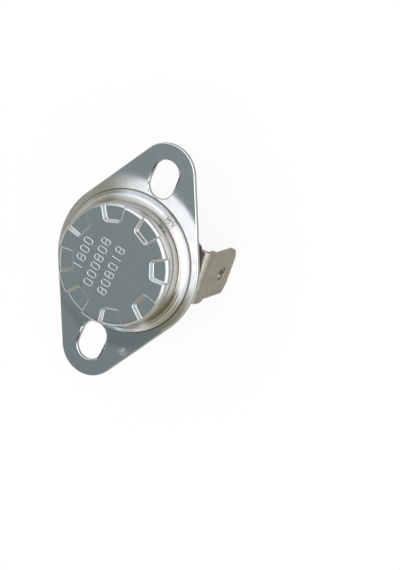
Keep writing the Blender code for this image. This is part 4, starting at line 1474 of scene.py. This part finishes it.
# What the metal mirrors, each over those before it: a bright ceiling, and grey and olive walls.
ROOM = (
    Area((0.12, -0.28, 0.95), "#FFFFFF", 38.0, 54.0),
    Area((-0.52, 0.50, 0.69), "#757F80", 19.0, 24.5),
    Area((-0.25, 0.62, 0.745), "#84836F", 8.0, 15.0),
    Area((-0.46, 0.07, 0.885), "#75705A", 7.0, 9.5),
    Area((-0.50, 0.29, 0.815), "#636D6F", 4.5, 9.0),
    Area((-0.76, -0.37, 0.53), "#A5A18C", 14.0, 38.0),
    Area((-0.72, -0.66, 0.19), "#9C937C", 12.0, 26.0),
    Area((-0.20, 0.80, 0.56), "#B4B4AE", 11.0, 24.0),
    Area((0.10, 0.90, 0.15), "#86867C", 14.0, 34.0),
    Area((0.95, -0.20, 0.06), "#8D8A84", 8.0, 22.0),
)


def pose_toward(place: np.ndarray, back: np.ndarray, roll: float = 0.0) -> Matrix:
    """Work out the pose of something that faces along its own -Z.

    Its own X is level before the roll, which turns X and Y about the way it faces.

    Args:
        place: where it stands, in metres.
        back: the way opposite to the one it faces.
        roll: how far it is rolled, in radians.

    Returns:
        The four by four matrix.
    """
    back = back / np.linalg.norm(back)
    level = np.cross((0.0, 0.0, 1.0), back)
    level /= np.linalg.norm(level)
    over = np.cross(back, level)
    cos, sin = math.cos(roll), math.sin(roll)
    matrix = np.eye(4)
    matrix[:3, :3] = np.array([cos * level + sin * over, cos * over - sin * level, back]).T
    matrix[:3, 3] = place
    return Matrix(matrix.tolist())


@dataclass
class Studio:
    """The floor, the lamp, the room that the metal mirrors, and the camera.

    The camera stands at a place, looks at another and is rolled about its line of sight.
    """

    image_height: int = 570
    focal_pixels: float = 4000.0
    sensor: float = 36.0
    nearest: float = 0.01
    camera_mm: tuple[float, float, float] = (183.084, -180.540, 434.751)
    aim_mm: tuple[float, float, float] = (4.248, -12.031, 0.0)
    roll_deg: float = -108.144
    floor_half: float = 1.5
    floor_paper: tuple[float, float, float, float] = (0.96, 0.96, 0.96, 1.0)
    floor_white: float = 0.9
    floor_mirrored: str = "#BAB8B2"
    room_color: str = "#CFD2D5"
    room_strength: float = 1.35
    lamp_place: tuple[float, float, float] = (0.10, -0.25, 0.85)
    lamp_side: float = 0.6
    lamp_power: float = 1.5

    def camera(self) -> None:
        """Set the camera where the photograph was taken, worked out from the bracket and cap."""
        data = bpy.data.cameras.new("camera")
        data.sensor_fit = "AUTO"
        data.sensor_width = self.sensor
        data.lens = self.focal_pixels * self.sensor / self.image_height
        data.clip_start = self.nearest
        obj = bpy.data.objects.new("camera", data)
        stand = np.array(self.camera_mm)
        back = stand - np.array(self.aim_mm)
        obj.matrix_world = pose_toward(stand * MM, back, math.radians(self.roll_deg))
        bpy.context.scene.collection.objects.link(obj)
        bpy.context.scene.camera = obj

    def floor(self, level: float) -> None:
        """Lay the pale floor that the tabs stand on, clear from below.

        Camera rays see it mostly as plain white, with a share of its shadow. Mirroring surfaces
        see it as pale grey.

        Args:
            level: the floor's height in metres.
        """
        size = self.floor_half
        mesh = bpy.data.meshes.new("floor")
        mesh.from_pydata([(-size, -size, level), (size, -size, level), (size, size, level),
                          (-size, size, level)], [], [(0, 1, 2, 3)])
        material = bpy.data.materials.new("white_paper")
        material.use_nodes = True
        tree = material.node_tree
        tree.nodes.clear()
        path = add_node(tree, "ShaderNodeLightPath")
        shown = add_node(tree, "ShaderNodeMath", {"operation": "MULTIPLY"},
                         {0: path.outputs["Is Camera Ray"], 1: self.floor_white})
        paper = add_node(tree, "ShaderNodeBsdfDiffuse", {}, {"Color": self.floor_paper})
        white = add_node(tree, "ShaderNodeEmission", {}, {"Color": WHITE, "Strength": 1.0})
        mirrored = add_node(tree, "ShaderNodeEmission", {},
                            {"Color": linear(self.floor_mirrored), "Strength": 1.0})
        lit = add_node(tree, "ShaderNodeMixShader", {}, {0: shown.outputs[0], 1: paper.outputs[0],
                                                         2: white.outputs[0]})
        seen = add_node(tree, "ShaderNodeMixShader", {}, {0: path.outputs["Is Glossy Ray"],
                                                          1: lit.outputs[0], 2: mirrored.outputs[0]})
        clear = add_node(tree, "ShaderNodeBsdfTransparent")
        side = add_node(tree, "ShaderNodeNewGeometry")
        mixed = add_node(tree, "ShaderNodeMixShader", {}, {0: side.outputs["Backfacing"],
                                                           1: seen.outputs[0], 2: clear.outputs[0]})
        add_node(tree, "ShaderNodeOutputMaterial", {}, {"Surface": mixed.outputs[0]})
        mesh.materials.append(material)
        obj = bpy.data.objects.new("floor", mesh)
        bpy.context.scene.collection.objects.link(obj)
        obj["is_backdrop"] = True

    def lamp(self) -> None:
        """Hang a square soft lamp overhead, facing the part."""
        data = bpy.data.lights.new("overhead_softbox", "AREA")
        data.shape = "SQUARE"
        data.size = self.lamp_side
        data.energy = self.lamp_power
        obj = bpy.data.objects.new("overhead_softbox", data)
        hung = np.array(self.lamp_place)
        obj.matrix_world = pose_toward(hung, hung)
        bpy.context.scene.collection.objects.link(obj)

    def room(self) -> None:
        """Make the room that the metal mirrors: pale all round, with the areas of ROOM over it.

        The direction's dot product with the middle of each area, put through a range, gives the
        area's share. Camera rays see plain white.
        """
        world = bpy.data.worlds.new("room")
        bpy.context.scene.world = world
        world.use_nodes = True
        tree = world.node_tree
        tree.nodes.clear()
        direction = add_node(tree, "ShaderNodeTexCoord").outputs["Generated"]
        color = add_node(tree, "ShaderNodeRGB").outputs[0]
        color.default_value = linear(self.room_color)
        for area in ROOM:
            unit = np.array(area.middle) / np.linalg.norm(area.middle)
            dot = add_node(tree, "ShaderNodeVectorMath", {"operation": "DOT_PRODUCT"},
                           {0: direction, 1: tuple(unit.tolist())}).outputs["Value"]
            share = add_node(tree, "ShaderNodeMapRange", {"interpolation_type": "SMOOTHSTEP"}, {
                "Value": dot, "From Min": math.cos(math.radians(area.faded_deg)),
                "From Max": math.cos(math.radians(area.full_deg)),
            }).outputs["Result"]
            color = add_node(tree, "ShaderNodeMix", {"data_type": "RGBA"},
                             {"Factor": share, 6: color, 7: linear(area.color)}).outputs[2]
        path = add_node(tree, "ShaderNodeLightPath")
        lit = add_node(tree, "ShaderNodeBackground", {}, {"Color": color, "Strength": self.room_strength})
        white = add_node(tree, "ShaderNodeBackground", {}, {"Color": WHITE, "Strength": 1.0})
        mixed = add_node(tree, "ShaderNodeMixShader", {}, {0: path.outputs["Is Camera Ray"],
                                                           1: lit.outputs[0], 2: white.outputs[0]})
        add_node(tree, "ShaderNodeOutputWorld", {}, {"Surface": mixed.outputs[0]})

    def build(self, level: float) -> None:
        """Set up everything round the part and the plain view transform.

        Args:
            level: the floor's height in metres.
        """
        self.camera()
        self.floor(level)
        self.room()
        self.lamp()
        bpy.context.scene.view_settings.view_transform = "Standard"


def seat(obj: bpy.types.Object, body: Body, slot: str, *nodes: str) -> None:
    """Let a finished piece ride on a body and hide the solids that it stands for.

    Args:
        obj: the finished piece.
        body: the body that it moves with.
        slot: a material slot name; not used.
        nodes: names of the solids.
    """
    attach(obj, body.value)
    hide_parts(*nodes)


def main() -> None:
    """Build every piece in order, then the studio."""
    logging.basicConfig(level=logging.INFO, format="%(name)s: %(message)s")
    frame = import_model()
    cad_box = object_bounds()

    cap = make_object("drawn_cap", SensingCap().build(), DRAWN_ALUMINIUM.build())
    seat(cap, Body.HOUSING, "cap_aluminium", "sensing_cap")
    bracket = make_object("slotted_bracket", Bracket().build(), ZINC_PLATED_STEEL.build())
    seat(bracket, Body.HOUSING, "bracket_steel", "mounting_bracket")
    base = make_object("moulded_base", Base().build(), BLACK_PHENOLIC.build())
    seat(base, Body.HOUSING, "base_phenolic", "base_body")
    nickel = NICKEL_PLATED_BRASS.build()
    bright = NICKEL_RIVET.build()
    for side, turn in (("front", 0.0), ("rear", math.pi)):
        tab = make_object(f"tab_{side}", Terminal().build(MODULE_TURN + turn), nickel)
        seat(tab, Body.HOUSING, "terminal_nickel", f"terminal_{side}")
    for side, offset, head_top in (("front", -3.6, -6.901), ("rear", 3.6, -8.801)):
        rivet = make_object(f"rolled_rivet_{side}", Rivet(offset, head_top).build(MODULE_TURN), bright)
        seat(rivet, Body.HOUSING, "rivet_nickel", f"rivet_{side}")
    dress_switch(frame["nodes"])

    Studio().build(cad_box[0].z)


if __name__ == "__main__":
    main()
